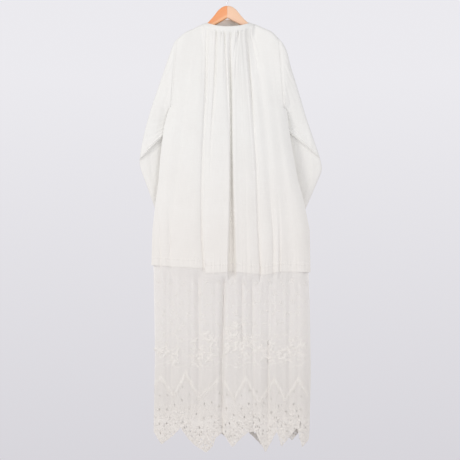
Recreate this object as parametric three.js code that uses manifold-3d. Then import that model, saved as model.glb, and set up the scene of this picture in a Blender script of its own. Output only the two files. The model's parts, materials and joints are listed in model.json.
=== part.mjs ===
// A long linen smock with a lace skirt, hung on a wooden hanger.
// Millimetres, +Z up, +X to the right seen from the front, the front faces -Y.
// The origin is the inside top of the hanger's hook, where it rests on a rail.
import * as THREE from 'three';
import { mergeVertices } from 'three/addons/utils/BufferGeometryUtils.js';
import Module from 'manifold-3d';

const wasm = await Module();
wasm.setup();

// Cloth and seams
const linenWall = 1.6;
const laceWall = 1.4;
const seamGap = 0.3;
const halfGap = seamGap / 2;
const edgeDepth = halfGap + linenWall;
const hemHeight = 27;
const hemExtra = 0.8;

// Neck band, a flat ring of doubled cloth that lies on the hanger's arms
const bandWall = 3.0;
const bandCentreX = 3.2;
const bandTop = { halfWidth: 71.8, front: 37, back: 33 };
const bandBottom = { halfWidth: 85, front: 40.5, back: 36 };
const bandTopZ = { side: -121.3, front: -137.5, back: -116 };
const bandBottomZ = { side: -126.6, front: -152, back: -131 };
const bandSag = 1.7;
const bandShares = [0, 1];
const gatherDepth = 2.6;
const gatherReach = 42;
const bandLead = 12;

// Hanger
const hookWire = 4;
const hookRadius = 20;
const hookFreeAngle = 205;
const hookNeckAngle = -35;
const stemBottomZ = -98;
const boreRadius = hookWire / 2 + 0.3;
const boreDepthZ = stemBottomZ - 0.4;
const woodRounding = 0.8;
const hangerTilt = 0.026;

// Everything on the hanger follows its forward bow, which fades out lower down
const bow = { depth: 14, reach: 190, fullZ: -180, noneZ: -640 };

// Heights that the tables below use as columns
const levels = [-150, -250, -360, -470, -574, -706, -820, -930];

// Side edges of the body, the first two rows of each being the straight armhole
const armholeLeft = { topX: -169.5, topZ: -181, bottomX: -187, bottomZ: -398 };
const armholeRight = { topX: 171.3, topZ: -178, bottomX: 189, bottomZ: -400 };
const armholeHalfOpen = 12;
const sideLeft = [
  { z: -398, x: -187 }, { z: -469, x: -209 }, { z: -574, x: -222 }, { z: -640, x: -227 },
  { z: -706, x: -236 }, { z: -805, x: -247 }, { z: -950, x: -251 },
];
const sideRight = [
  { z: -400, x: 189 }, { z: -470, x: 202 }, { z: -574, x: 221 }, { z: -640, x: 233 },
  { z: -706, x: 252 }, { z: -805, x: 272 }, { z: -950, x: 275 },
];

// Height of the shoulder line over the hanger's arms
const shoulderLeft = [
  { x: -169.5, z: -181 }, { x: -160, z: -172 }, { x: -149.5, z: -163.5 }, { x: -137, z: -152.5 },
  { x: -116.5, z: -144.6 }, { x: -103, z: -137 }, { x: -90, z: -130.6 }, { x: -81.8, z: -126.9 },
];
const shoulderRight = [
  { x: 88.2, z: -126.9 }, { x: 95, z: -128.3 }, { x: 108, z: -135 }, { x: 121, z: -140.3 },
  { x: 146, z: -151.5 }, { x: 160, z: -164.5 }, { x: 171.3, z: -178 },
];

// Folds: where each valley runs at each level, how deep it is there, and its half-width
const frontFolds = [
  { x: [-66, -68.5, -70.5, -74, -80.5, -83.5, -85, -78], deep: [5, 7, 7, 7, 7, 6, 6, 6], wide: 11 },
  { x: [-34, -38, -41, -52, -56, -57, -58, -60], deep: [4, 6, 6, 5, 4, 2, 0, 0], wide: 10 },
  { x: [-10, -5, 0, 4, 8, 10, 12, 12], deep: [4, 5, 5, 3, 0, 0, 0, 0], wide: 8 },
  { x: [10, 9, 12, 13, 13.5, 14.5, 16, 15], deep: [2, 8, 10, 11, 12, 12, 13, 14], wide: 11 },
  { x: [36, 18, 12, 12, 12, 12, 12, 12], deep: [4, 3, 0, 0, 0, 0, 0, 0], wide: 7 },
  { x: [62, 70, 81, 84.5, 93.7, 98.3, 102, 108], deep: [5, 7, 6, 6, 6, 6, 6, 5], wide: 10 },
  { x: [70, 94, 111, 123, 134, 141, 154, 151], deep: [2, 5, 6, 6, 6, 6, 5, 4], wide: 12 },
  { x: [-120, -130, -140, -150, -160, -175, -186, -190], deep: [0, 1, 2, 2, 2, 2, 3, 5], wide: 16 },
  { x: [-150, -160, -180, -200, -205, -212, -220, -223], deep: [0, 0, 0, 0, 0, 0, 2, 4], wide: 10 },
  { x: [130, 140, 155, 165, 178, 190, 200, 210], deep: [0, 1, 2, 3, 3, 3, 4, 5], wide: 15 },
];
const backFolds = [
  { x: [-62, -66, -72, -78, -84, -90, -95, -98], deep: [4, 6, 6, 6, 5, 5, 5, 5], wide: 12 },
  { x: [-30, -33, -38, -42, -46, -46, -44, -42], deep: [3, 6, 7, 7, 6, 6, 7, 7], wide: 11 },
  { x: [4, 2, 0, -2, 0, 2, 4, 6], deep: [3, 6, 7, 5, 4, 6, 8, 8], wide: 11 },
  { x: [36, 38, 42, 50, 56, 60, 62, 64], deep: [4, 6, 7, 7, 6, 5, 5, 6], wide: 12 },
  { x: [68, 78, 92, 102, 112, 122, 130, 138], deep: [3, 5, 5, 5, 5, 5, 5, 5], wide: 13 },
];

// Grid columns: x at each level, and how many columns fill the span on the line's left
const frontLines = [
  { x: [-81.8, -92, -98, -104, -110, -116, -120, -122], columns: 8 },
  { x: [-66, -68.5, -70.5, -74, -80.5, -83.5, -85, -78], columns: 3 },
  { x: [-34, -38, -41, -50, -53, -54, -52, -46], columns: 5 },
  { x: [10, 9, 12, 13, 13.5, 14.5, 16, 15], columns: 6 },
  { x: [62, 70, 81, 84.5, 93.7, 98.3, 102, 108], columns: 8 },
  { x: [74, 94, 111, 123, 134, 141, 150, 151], columns: 3 },
  { x: [88.2, 108, 126, 140, 152, 164, 174, 180], columns: 3 },
];
const backLines = [
  { x: [-81.8, -92, -98, -106, -114, -122, -126, -130], columns: 7 },
  { x: [-62, -66, -72, -78, -84, -90, -95, -98], columns: 3 },
  { x: [-30, -33, -38, -42, -46, -46, -44, -42], columns: 4 },
  { x: [4, 2, 0, -2, 0, 2, 4, 6], columns: 5 },
  { x: [36, 38, 42, 50, 56, 60, 62, 64], columns: 5 },
  { x: [68, 78, 92, 102, 112, 122, 130, 138], columns: 4 },
  { x: [88.2, 104, 120, 134, 146, 158, 168, 176], columns: 3 },
];
const lastSpanColumns = { front: 8, back: 7 };
const firstShare = 0.06;

// How far each panel stands off the middle surface
const frontBody = {
  facing: -1, shoulder: 11.2, side: 11, rise: 34, ring: bandBottom.front - 1,
  centre: [39, 36, 33, 31, 30, 29, 29, 29],
};
const backBody = {
  facing: 1, shoulder: 11.2, side: 8, rise: 30, ring: bandBottom.back - 1,
  centre: [34, 29, 24, 21, 20, 20, 21, 22],
};

// Rows of a panel: drops below the top edge, then shares of the rest down to the hem
const topDrops = [0, 2.6, 10.5, 26, 52];
const frontRowShares = [0.07, 0.16, 0.25, 0.35, 0.45, 0.55, 0.65, 0.75, 0.84, 0.93, 1];
const backRowShares = [0.08, 0.165, 0.25, 0.37, 0.49, 0.61, 0.73, 0.87, 1];
const hemStep = 1.5;
const hemLevel = -930;
const topReach = 70;
const crownReach = 260;

// Lower edge of the linen, stepped where the left part lies on a fold
const linenHem = [
  { x: -251, z: -921 }, { x: -166, z: -927 }, { x: -76, z: -930.5 }, { x: -70, z: -947 },
  { x: -4, z: -944 }, { x: 15, z: -939.5 }, { x: 30, z: -943 }, { x: 103, z: -950.5 },
  { x: 120, z: -953.5 }, { x: 174, z: -941.8 }, { x: 275, z: -944.5 },
];

// Lace skirt: its own folds below the linen, its side edges and its pointed border
const laceLevels = [-930, -1000, -1100, -1200, -1330, -1440];
const laceFrontFolds = [
  { x: [-96, -96, -95, -95, -96, -98], deep: [4, 6, 6, 5, 3, 2], wide: 14 },
  { x: [-10, -12, -14, -17, -18, -16], deep: [7, 9, 9, 9, 9, 8], wide: 11 },
  { x: [48, 48, 48, 49, 50, 52], deep: [3, 5, 5, 3, 1, 0], wide: 9 },
  { x: [82, 82, 82, 82, 84, 86], deep: [4, 6, 6, 4, 3, 3], wide: 11 },
  { x: [140, 138, 136, 134, 133, 134], deep: [1, 2, 3, 5, 6, 4], wide: 13 },
  { x: [-180, -182, -184, -186, -188, -190], deep: [3, 3, 2, 3, 4, 3], wide: 18 },
  { x: [210, 208, 206, 204, 204, 206], deep: [3, 3, 3, 3, 4, 3], wide: 17 },
];
const laceBackFolds = [
  { x: [-150, -152, -154, -156, -158, -160], deep: [3, 4, 5, 5, 4, 3], wide: 16 },
  { x: [-60, -58, -56, -56, -58, -60], deep: [5, 6, 6, 5, 5, 5], wide: 14 },
  { x: [20, 22, 24, 26, 26, 24], deep: [6, 7, 7, 7, 6, 5], wide: 12 },
  { x: [110, 108, 108, 110, 112, 114], deep: [5, 5, 6, 6, 5, 4], wide: 15 },
  { x: [190, 188, 186, 186, 188, 190], deep: [3, 3, 3, 3, 3, 3], wide: 17 },
];
const laceSideLeft = [
  { z: -894, x: -243.5 }, { z: -960, x: -243 }, { z: -1200, x: -238.5 }, { z: -1480, x: -243 },
];
const laceSideRight = [
  { z: -894, x: 267.5 }, { z: -960, x: 268 }, { z: -1040, x: 272.5 }, { z: -1280, x: 276 },
  { z: -1480, x: 271 },
];
const laceFrontBorder = [
  { x: -243, z: -1470 }, { x: -217, z: -1510 }, { x: -179, z: -1482 }, { x: -154, z: -1455 },
  { x: -127, z: -1492 }, { x: -105, z: -1513 }, { x: -69, z: -1536 }, { x: -47, z: -1515 },
  { x: -38, z: -1488 }, { x: -16, z: -1470 }, { x: 17, z: -1519 }, { x: 42, z: -1492 },
  { x: 68, z: -1469 }, { x: 92, z: -1467 }, { x: 126, z: -1536 }, { x: 163, z: -1466 },
  { x: 179, z: -1517 }, { x: 230, z: -1455 }, { x: 247, z: -1520 }, { x: 268, z: -1497 },
  { x: 271, z: -1475 },
];
const laceBackBorder = [
  { x: -243, z: -1470 }, { x: -205, z: -1498 }, { x: -160, z: -1450 }, { x: -105, z: -1508 },
  { x: -50, z: -1456 }, { x: 10, z: -1500 }, { x: 55, z: -1458 }, { x: 118, z: -1520 },
  { x: 165, z: -1456 }, { x: 215, z: -1500 }, { x: 245, z: -1462 }, { x: 271, z: -1475 },
];
const laceBody = {
  front: { facing: -1, side: 9, rise: 30, centre: [22, 20, 19, 19, 20, 21] },
  back: { facing: 1, side: 8, rise: 30, centre: [19, 18, 18, 18, 19, 20] },
};
const laceRowShares = [0.06, 0.2, 0.36, 0.52, 0.66, 0.72, 0.76, 0.8, 0.84, 0.88, 0.92, 0.96, 1];
const borderLevel = -1470;
const laceBlend = 60;
const laceClear = 0.4;

// Cut gaps of the border: every second cell of these rows, pulled in to this share of a cell
const cutRows = [7, 9, 11];
const cutShare = { across: 0.5, down: 0.42 };

// Sleeves, flat tubes: one row per section, from the outer edge to the inner edge
const sleeveRound = 20;
const sleeveSections = {
  left: [
    { outer: [-176, -190], inner: [-188.2, -399.6], y: 0, half: 12.2 },
    { outer: [-189, -226], inner: [-189, -400.8], y: 1.5, half: 12.6 },
    { outer: [-202, -261], inner: [-190, -403], y: 3.5, half: 12.8 },
    { outer: [-222, -320], inner: [-191, -406.5], y: 7, half: 12.5 },
    { outer: [-241, -372], inner: [-190, -411], y: 12, half: 12 },
    { outer: [-256, -418], inner: [-187, -422], y: 17.5, half: 12 },
    { outer: [-270, -464], inner: [-183, -436], y: 22.5, half: 11.5 },
    { outer: [-281, -510], inner: [-182, -446], y: 25, half: 11 },
    { outer: [-289.5, -566], inner: [-178, -456], y: 25, half: 11 },
    { outer: [-291.4, -584], inner: [-174, -474], y: 32, half: 10 },
    { outer: [-287, -606], inner: [-170, -510], y: 34, half: 10.5 },
    { outer: [-273.9, -640], inner: [-166, -595], y: 35, half: 11 },
    { outer: [-250.5, -706], inner: [-146, -667], y: 36, half: 11 },
    { outer: [-225, -776], inner: [-121, -738], y: 37, half: 11.5 },
  ],
  right: [
    { outer: [179, -184.5], inner: [190.2, -401.6], y: 0, half: 12.2 },
    { outer: [197, -214], inner: [191, -402.8], y: 1.5, half: 12.6 },
    { outer: [207, -262], inner: [192, -405], y: 3.5, half: 12.8 },
    { outer: [225, -315], inner: [193, -408.5], y: 7, half: 12.5 },
    { outer: [243, -374], inner: [191.5, -413], y: 12, half: 12 },
    { outer: [259, -428], inner: [188, -423], y: 17.5, half: 12 },
    { outer: [275, -473], inner: [183, -436], y: 22.5, half: 11.5 },
    { outer: [290, -516], inner: [182, -446], y: 25, half: 11 },
    { outer: [304, -556], inner: [179, -456], y: 25, half: 11 },
    { outer: [311, -580], inner: [175, -474], y: 32, half: 10 },
    { outer: [315.8, -607], inner: [172, -520], y: 34, half: 10.5 },
    { outer: [301.3, -640], inner: [178, -592], y: 35, half: 11 },
    { outer: [270, -713], inner: [158, -668], y: 36, half: 11 },
    { outer: [241, -780], inner: [136, -740], y: 37, half: 11.5 },
  ],
};

// Hanger arm outline: top and bottom height and half-thickness at each distance from the middle
const woodStations = [
  { x: 0.15, top: -65, bottom: -106.6, half: 6.5 }, { x: 8, top: -66, bottom: -110.5, half: 6.5 },
  { x: 17, top: -69.2, bottom: -116, half: 6.5 }, { x: 32, top: -81.2, bottom: -124.3, half: 6.5 },
  { x: 43, top: -97, bottom: -130, half: 6.5 }, { x: 63, top: -119, bottom: -140, half: 6.5 },
  { x: 72, top: -127.3, bottom: -145, half: 6.5 }, { x: 84, top: -133.8, bottom: -150, half: 6.2 },
  { x: 103, top: -140, bottom: -156.5, half: 6.1 }, { x: 118, top: -145.4, bottom: -162.5, half: 6 },
  { x: 137, top: -154.2, bottom: -171, half: 5.7 }, { x: 150, top: -163.6, bottom: -178, half: 5 },
  { x: 158, top: -171.5, bottom: -180, half: 3.2 },
];

// Colours
const linenLook = { color: 0xefeeec, roughness: 0.92, metalness: 0 };
const laceLook = { color: 0xe4e0de, roughness: 0.9, metalness: 0 };
const woodLook = { color: 0xd99a5e, roughness: 0.5, metalness: 0 };
const steelLook = { color: 0xb9babd, roughness: 0.3, metalness: 1 };

// Small helpers
const mix = (a, b, share) => a + (b - a) * share;
const clamp01 = (value) => Math.min(1, Math.max(0, value));
const smooth = (value) => clamp01(value) ** 2 * (3 - 2 * clamp01(value));

// Reads a value between the points of a table, given its sorted places and values
function readTable(places, values, at) {
  const rising = places[places.length - 1] > places[0];
  let i = 1;
  while (i < places.length - 1 && (rising ? at > places[i] : at < places[i])) i += 1;
  const share = clamp01((at - places[i - 1]) / (places[i] - places[i - 1]));
  return mix(values[i - 1], values[i], share);
}

function readRows(rows, from, to, at) {
  return readTable(rows.map((row) => row[from]), rows.map((row) => row[to]), at);
}

function armholeX(armhole, z) {
  return mix(armhole.topX, armhole.bottomX, (z - armhole.topZ) / (armhole.bottomZ - armhole.topZ));
}

// Half opening of the armhole at a height, down to the closed side seam
function armholeOpening(armhole, z) {
  const across = Math.abs((2 * (z - armhole.topZ)) / (armhole.bottomZ - armhole.topZ) - 1);
  const share = across < 1 ? (1 - across ** 3) ** (1 / 3) : 0;
  return edgeDepth + (armholeHalfOpen - edgeDepth) * share;
}

function edgeLeftX(z) {
  if (z > armholeLeft.bottomZ) return armholeX(armholeLeft, z) + halfGap;
  return readRows(sideLeft, 'z', 'x', z) + halfGap;
}

function edgeRightX(z) {
  if (z > armholeRight.bottomZ) return armholeX(armholeRight, z) - halfGap;
  return readRows(sideRight, 'z', 'x', z) - halfGap;
}

// Valleys of the folds at a place, as a depth to take away
function foldDepth(folds, heights, x, z) {
  let total = 0;
  for (const fold of folds) {
    const away = (x - readTable(heights, fold.x, z)) / fold.wide;
    total += readTable(heights, fold.deep, z) * Math.exp(-(away ** 2));
  }
  return total;
}

// Closed solid between an outer and an inner grid of points, with any cells left open
function wallGeometry(outer, inner, { loop = false, open = () => false } = {}) {
  const rows = outer.length;
  const columns = outer[0].length;
  const spans = loop ? columns : columns - 1;
  const vertices = [outer, inner].flat(2).flatMap((point) => [point.x, point.y, point.z]);
  const place = (side, r, c) => side * rows * columns + r * columns + (c % columns);
  const corners = (side, r, c) => [
    place(side, r, c), place(side, r, c + 1), place(side, r + 1, c + 1), place(side, r + 1, c),
  ];
  const filled = (r, c) => {
    if (r < 0 || r >= rows - 1) return false;
    if (!loop && (c < 0 || c >= spans)) return false;
    return !open(r, (c + spans) % spans);
  };
  const triangles = [];
  const quad = (a, b, c, d) => triangles.push(a, b, c, a, c, d);
  for (let r = 0; r < rows - 1; r += 1) {
    for (let c = 0; c < spans; c += 1) {
      if (!filled(r, c)) continue;
      const [oa, ob, oc, od] = corners(0, r, c);
      const [ia, ib, ic, id] = corners(1, r, c);
      quad(oa, od, oc, ob);
      quad(ia, ib, ic, id);
      if (!filled(r - 1, c)) quad(oa, ob, ib, ia);
      if (!filled(r + 1, c)) quad(oc, od, id, ic);
      if (!filled(r, c - 1)) quad(od, oa, ia, id);
      if (!filled(r, c + 1)) quad(ob, oc, ic, ib);
    }
  }
  return facingOut(vertices, triangles);
}

// Solid through a row of closed sections, capped at both ends
function loftGeometry(sections) {
  const count = sections[0].length;
  const vertices = sections.flat().flatMap((point) => [point.x, point.y, point.z]);
  const triangles = [];
  for (let s = 0; s < sections.length - 1; s += 1) {
    for (let i = 0; i < count; i += 1) {
      const next = (i + 1) % count;
      const [a, b] = [s * count + i, s * count + next];
      triangles.push(a, b, b + count, a, b + count, a + count);
    }
  }
  const last = (sections.length - 1) * count;
  for (let i = 1; i < count - 1; i += 1) {
    triangles.push(0, i + 1, i);
    triangles.push(last, last + i, last + i + 1);
  }
  return facingOut(vertices, triangles);
}

// Geometry whose faces are turned so that they enclose a positive volume
function facingOut(vertices, triangles) {
  const at = (i) => new THREE.Vector3(vertices[3 * i], vertices[3 * i + 1], vertices[3 * i + 2]);
  let volume = 0;
  for (let i = 0; i < triangles.length; i += 3) {
    const [a, b, c] = triangles.slice(i, i + 3).map(at);
    volume += a.dot(b.cross(c));
  }
  if (volume < 0) triangles.reverse();
  const geometry = new THREE.BufferGeometry();
  geometry.setAttribute('position', new THREE.Float32BufferAttribute(vertices, 3));
  geometry.setIndex(triangles);
  return mergeVertices(geometry.toNonIndexed());
}

function toSolid(geometry) {
  const bare = geometry.clone();
  bare.deleteAttribute('normal');
  bare.deleteAttribute('uv');
  const merged = mergeVertices(bare);
  const vertProperties = new Float32Array(merged.attributes.position.array);
  const triVerts = new Uint32Array(merged.index.array);
  return new wasm.Manifold(new wasm.Mesh({ numProp: 3, vertProperties, triVerts }));
}

function fromSolid(solid) {
  const mesh = solid.getMesh();
  const geometry = new THREE.BufferGeometry();
  geometry.setAttribute('position', new THREE.BufferAttribute(mesh.vertProperties, 3));
  geometry.setIndex(new THREE.BufferAttribute(mesh.triVerts, 1));
  return geometry;
}

// The hanger's forward bow, a shift along Y that every hung piece shares
function bowed(point) {
  const across = Math.min(Math.abs(point.x), bow.reach) / bow.reach;
  const fade = smooth((point.z - bow.noneZ) / (bow.fullZ - bow.noneZ));
  const shift = (bow.depth * fade * (1 - Math.cos(Math.PI * across))) / 2;
  return new THREE.Vector3(point.x, point.y - shift, point.z);
}

const bowGrid = (grid) => grid.map((row) => row.map(bowed));

// Neck band: a point on its outer face, share 0 at the upper edge and 1 at the lower edge
function bandPoint(angle, share) {
  const front = Math.sin(angle) < 0;
  const toMiddle = Math.abs(Math.sin(angle)) ** bandSag;
  const point = (ring, heights) => new THREE.Vector3(
    bandCentreX + ring.halfWidth * Math.cos(angle),
    (front ? ring.front : ring.back) * Math.sin(angle),
    mix(heights.side, front ? heights.front : heights.back, toMiddle),
  );
  return point(bandTop, bandTopZ).lerp(point(bandBottom, bandBottomZ), share);
}

// Directions at an angle on the band: down its width, and out of its outer face
function bandFrame(angle) {
  const step = 0.01;
  const along = bandPoint(angle + step, 1).sub(bandPoint(angle - step, 1)).normalize();
  const down = bandPoint(angle, 1).sub(bandPoint(angle, 0)).normalize();
  const out = new THREE.Vector3().crossVectors(along, down).negate().normalize();
  return { down, out };
}

// Where the panel's upper edge starts on the band, just below it and flush inside its walls
function underBand(angle) {
  const { down, out } = bandFrame(angle);
  const inset = (bandWall - linenWall) / 2;
  return bandPoint(angle, 1).addScaledVector(down, seamGap).addScaledVector(out, -inset);
}

// A panel's grid columns, each a share of the span between two of its lines
function panelColumns(panel) {
  const columns = [];
  panel.lines.forEach((line, span) => {
    for (let i = 1; i <= line.columns; i += 1) {
      columns.push({ span, share: i / line.columns });
    }
  });
  const last = panel.lines.length;
  for (let i = 1; i <= panel.lastColumns; i += 1) {
    columns.push({ span: last, share: i / panel.lastColumns });
  }
  columns.unshift({ span: 0, share: 0 });
  return columns.map((column) => ({ ...column, share: edgeShare(panel, column) }));
}

// The first column beside each side seam is narrow, so that the lace can start there
function edgeShare(panel, { span, share }) {
  const last = panel.lines.length;
  if (span !== 0 && span !== last) return share;
  const count = span === 0 ? panel.lines[0].columns : panel.lastColumns;
  const rank = (span === 0 ? share : 1 - share) * count;
  const spread = rank <= 1 ? rank * firstShare : mix(firstShare, 1, (rank - 1) / (count - 1));
  return span === 0 ? spread : 1 - spread;
}

function lineX(panel, index, z) {
  if (index < 0) return edgeLeftX(z);
  if (index >= panel.lines.length) return edgeRightX(z);
  return readTable(levels, panel.lines[index].x, z);
}

// Angle on the band, from the left side over the panel's own half to the right side
function lineAngle(panel, index) {
  const across = (panel.lines[index].x[0] - bandCentreX) / bandBottom.halfWidth;
  return panel.facing * Math.acos(Math.min(1, Math.max(-1, across)));
}

// The way the band's width points at a column, which the gathered cloth first follows
function bandDirection(panel, { span, share }) {
  const from = lineAngle(panel, Math.max(span - 1, 0));
  const to = lineAngle(panel, Math.min(span, panel.lines.length - 1));
  return bandFrame(mix(from, to, share)).down;
}

// Upper edge of a panel at a column: on the band, or along the shoulder seam
function topPoint(panel, column) {
  const { span, share } = column;
  if (span > 0 && span < panel.lines.length) {
    return underBand(mix(lineAngle(panel, span - 1), lineAngle(panel, span), share));
  }
  if (span === 0 && share === 1) return underBand(lineAngle(panel, 0));
  if (span === 0) {
    const x = mix(armholeLeft.topX + halfGap, panel.lines[0].x[0], share);
    return new THREE.Vector3(x, 0, readRows(shoulderLeft, 'x', 'z', x));
  }
  const x = mix(panel.lines[span - 1].x[0], armholeRight.topX - halfGap, share);
  return new THREE.Vector3(x, 0, readRows(shoulderRight, 'x', 'z', x));
}

// How far a panel hangs off the middle surface at a place, its folds taken away
function hangDepth(panel, x, z) {
  const left = edgeLeftX(z);
  const right = edgeRightX(z);
  const fromMiddle = (2 * x - left - right) / (right - left);
  const low = mix(panel.side, readTable(levels, panel.centre, z), 1 - fromMiddle ** 2);
  const overBand = Math.max(0, 1 - ((x - bandCentreX) / bandBottom.halfWidth) ** 2);
  const high = mix(panel.shoulder, panel.ring, Math.sqrt(overBand));
  const crown = mix(high, low, smooth((levels[0] - z) / crownReach));
  const fromEdge = clamp01(Math.min(x - left, right - x) / panel.rise);
  const armhole = x < 0 ? armholeLeft : armholeRight;
  const seam = armholeOpening(armhole, z);
  const full = crown - foldDepth(panel.folds, levels, x, z);
  return mix(full, seam, (1 - fromEdge) ** 2);
}

// Outer face of a linen panel as a grid, before its hem is thickened and its bow is added
function panelGrid(panel) {
  const columns = panelColumns(panel);
  const neckFirst = columns.findIndex((column) => column.span > 0);
  const neckCount = columns.filter(({ span }) => span > 0 && span < panel.lines.length).length;
  const hemZ = columns.map(({ span, share }) => {
    const x = mix(lineX(panel, span - 1, hemLevel), lineX(panel, span, hemLevel), share);
    return readRows(linenHem, 'x', 'z', x);
  });
  const rowZ = (top, hem) => {
    const start = top - topDrops[topDrops.length - 1];
    const body = panel.rowShares.map((share) => mix(start, hem + hemHeight, share));
    return [...topDrops.map((drop) => top - drop), ...body, hem + hemHeight - hemStep, hem];
  };
  const columnPoints = columns.map((column, c) => {
    const top = topPoint(panel, column);
    const atSide = c === 0 || c === columns.length - 1;
    const neckPlace = (c - neckFirst + 1) / neckCount;
    const gathered = neckPlace > 0 && neckPlace < 1 ? Math.sin(Math.PI * neckPlace) ** 0.5 : 0;
    const wave = (c % 2 ? 1 : -1) * gatherDepth * gathered;
    const onBand = column.span > 0 && column.span < panel.lines.length;
    const atCorner = column.share === 1 && column.span === 0;
    const lead = onBand || atCorner ? bandDirection(panel, column) : null;
    return rowZ(top.z, hemZ[c]).map((z) => {
      const drop = top.z - z;
      const low = mix(lineX(panel, column.span - 1, z), lineX(panel, column.span, z), column.share);
      const x = atSide ? low : mix(top.x, low, smooth(drop / topReach));
      const round = Math.sqrt(1 - (1 - clamp01(drop / panel.shoulder)) ** 2);
      const start = Math.max(panel.facing * top.y, halfGap);
      const hang = hangDepth(panel, x, z);
      const ruffle = wave * (1 - Math.exp(-drop / 6)) * Math.exp(-drop / gatherReach);
      const depth = atSide ? hang : mix(start, hang, round) + ruffle;
      const point = new THREE.Vector3(x, panel.facing * depth, z);
      if (lead && drop < bandLead) {
        point.lerp(top.clone().addScaledVector(lead, drop), 1 - smooth(drop / bandLead));
      }
      point.y = panel.facing * Math.max(panel.facing * point.y, halfGap);
      return point;
    });
  });
  return columnPoints[0].map((_, r) => columnPoints.map((points) => points[r]));
}

// Inner face of a wall: each outer point moved in along the surface's own normal
function innerGrid(outer, facing, wall) {
  return outer.map((row, r) => row.map((point, c) => {
    const across = new THREE.Vector3().subVectors(
      row[Math.min(c + 1, row.length - 1)],
      row[Math.max(c - 1, 0)],
    );
    const down = new THREE.Vector3().subVectors(
      outer[Math.min(r + 1, outer.length - 1)][c],
      outer[Math.max(r - 1, 0)][c],
    );
    const normal = across.cross(down).normalize();
    if (normal.y * facing < 0) normal.negate();
    if (c === 0 || c === row.length - 1) normal.set(0, facing, 0);
    const moved = point.clone().addScaledVector(normal, -wall);
    moved.y = facing * Math.max(facing * moved.y, halfGap);
    return moved;
  }));
}

// Outer and inner faces of a linen panel, with its turned hem
function linenPanel(panel) {
  const plain = panelGrid(panel);
  const inner = innerGrid(plain, panel.facing, linenWall);
  const hemRow = plain.length - 2;
  const outer = plain.map((row, r) => row.map((point) => {
    const extra = r >= hemRow ? hemExtra : 0;
    return new THREE.Vector3(point.x, point.y + panel.facing * extra, point.z);
  }));
  return { outer, inner };
}

// Outer face of a lace panel: two rows just inside the linen hem, then down to the border
function laceGrid(lace, linenInner) {
  const { facing } = lace;
  const edge = halfGap + laceWall;
  const sewn = linenInner.slice(-2).map((row) => row.slice(1, -1));
  const last = sewn[1].length - 1;
  const leftX = (z) => readRows(laceSideLeft, 'z', 'x', z);
  const rightX = (z) => readRows(laceSideRight, 'z', 'x', z);
  const atSide = (c) => c === 0 || c === last;
  const hemPlaces = sewn[1].map((point) => point.x);
  const sewnRows = sewn.map((row) => row.map((point, c) => {
    if (c === 0) return new THREE.Vector3(leftX(point.z), facing * edge, point.z);
    if (c === last) return new THREE.Vector3(rightX(point.z), facing * edge, point.z);
    return new THREE.Vector3(point.x, point.y - facing * laceClear, point.z);
  }));
  const ownDepth = (x, z) => {
    const [left, right] = [leftX(z), rightX(z)];
    const fromMiddle = (2 * x - left - right) / (right - left);
    const centre = readTable(laceLevels, lace.centre, z);
    const crown = mix(lace.side, centre, 1 - fromMiddle ** 2);
    const full = crown - foldDepth(lace.folds, laceLevels, x, z);
    const fromEdge = clamp01(Math.min(x - left, right - x) / lace.rise);
    return mix(full, edge, (1 - fromEdge) ** 2);
  };
  // A place on the lace by column number and row share, either of them between whole ones
  const lacePoint = (c, share) => {
    const numbers = hemPlaces.map((_, i) => i);
    const hemX = readTable(numbers, hemPlaces, c);
    const across = (hemX - hemPlaces[0]) / (hemPlaces[last] - hemPlaces[0]);
    const hemPoint = sewnRows[1][Math.round(c)];
    const borderX = mix(leftX(borderLevel), rightX(borderLevel), across);
    const z = mix(hemPoint.z, readRows(lace.border, 'x', 'z', borderX), share);
    const x = mix(leftX(z), rightX(z), across);
    const own = ownDepth(x, z);
    const depth = mix(facing * hemPoint.y, own, smooth((hemPoint.z - z) / laceBlend));
    return new THREE.Vector3(x, facing * Math.max(depth, edge), z);
  };
  const lowerRows = laceRowShares.map((share, i) => hemPlaces.map((_, c) => {
    const row = i + sewnRows.length;
    const above = cutRows.includes(row - 1);
    const below = cutRows.includes(row);
    if (atSide(c) || !(above || below)) return lacePoint(c, share);
    const pull = (1 - cutShare.across) / 2;
    const cutCell = c % 2 ? pull : -pull;
    const neighbour = laceRowShares[below ? i + 1 : i - 1];
    return lacePoint(c + cutCell, mix(share, neighbour, (1 - cutShare.down) / 2));
  }));
  return [...sewnRows, ...lowerRows];
}

// Sections of a sleeve: the mouth on the armhole, then the rows of its table
function sleeveGrid(armhole, sections, outward, wall) {
  const mouth = {
    outer: [armhole.topX + outward * halfGap, armhole.topZ],
    inner: [armhole.bottomX + outward * halfGap, armhole.bottomZ],
    y: 0,
    half: armholeHalfOpen,
  };
  return [mouth, ...sections].map(({ outer, inner, y, half }) => {
    const middle = new THREE.Vector2((outer[0] + inner[0]) / 2, (outer[1] + inner[1]) / 2);
    const reach = new THREE.Vector2(outer[0] - middle.x, outer[1] - middle.y);
    const halfWidth = reach.length();
    reach.normalize();
    return Array.from({ length: sleeveRound }, (_, i) => {
      const angle = (2 * Math.PI * i) / sleeveRound;
      const round = (value) => Math.sign(value) * Math.abs(value) ** (2 / 3);
      const along = (halfWidth - wall) * round(Math.cos(angle));
      const across = (half - wall) * round(Math.sin(angle));
      return bowed(new THREE.Vector3(middle.x + reach.x * along, y + across, middle.y + reach.y * along));
    });
  });
}

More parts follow.
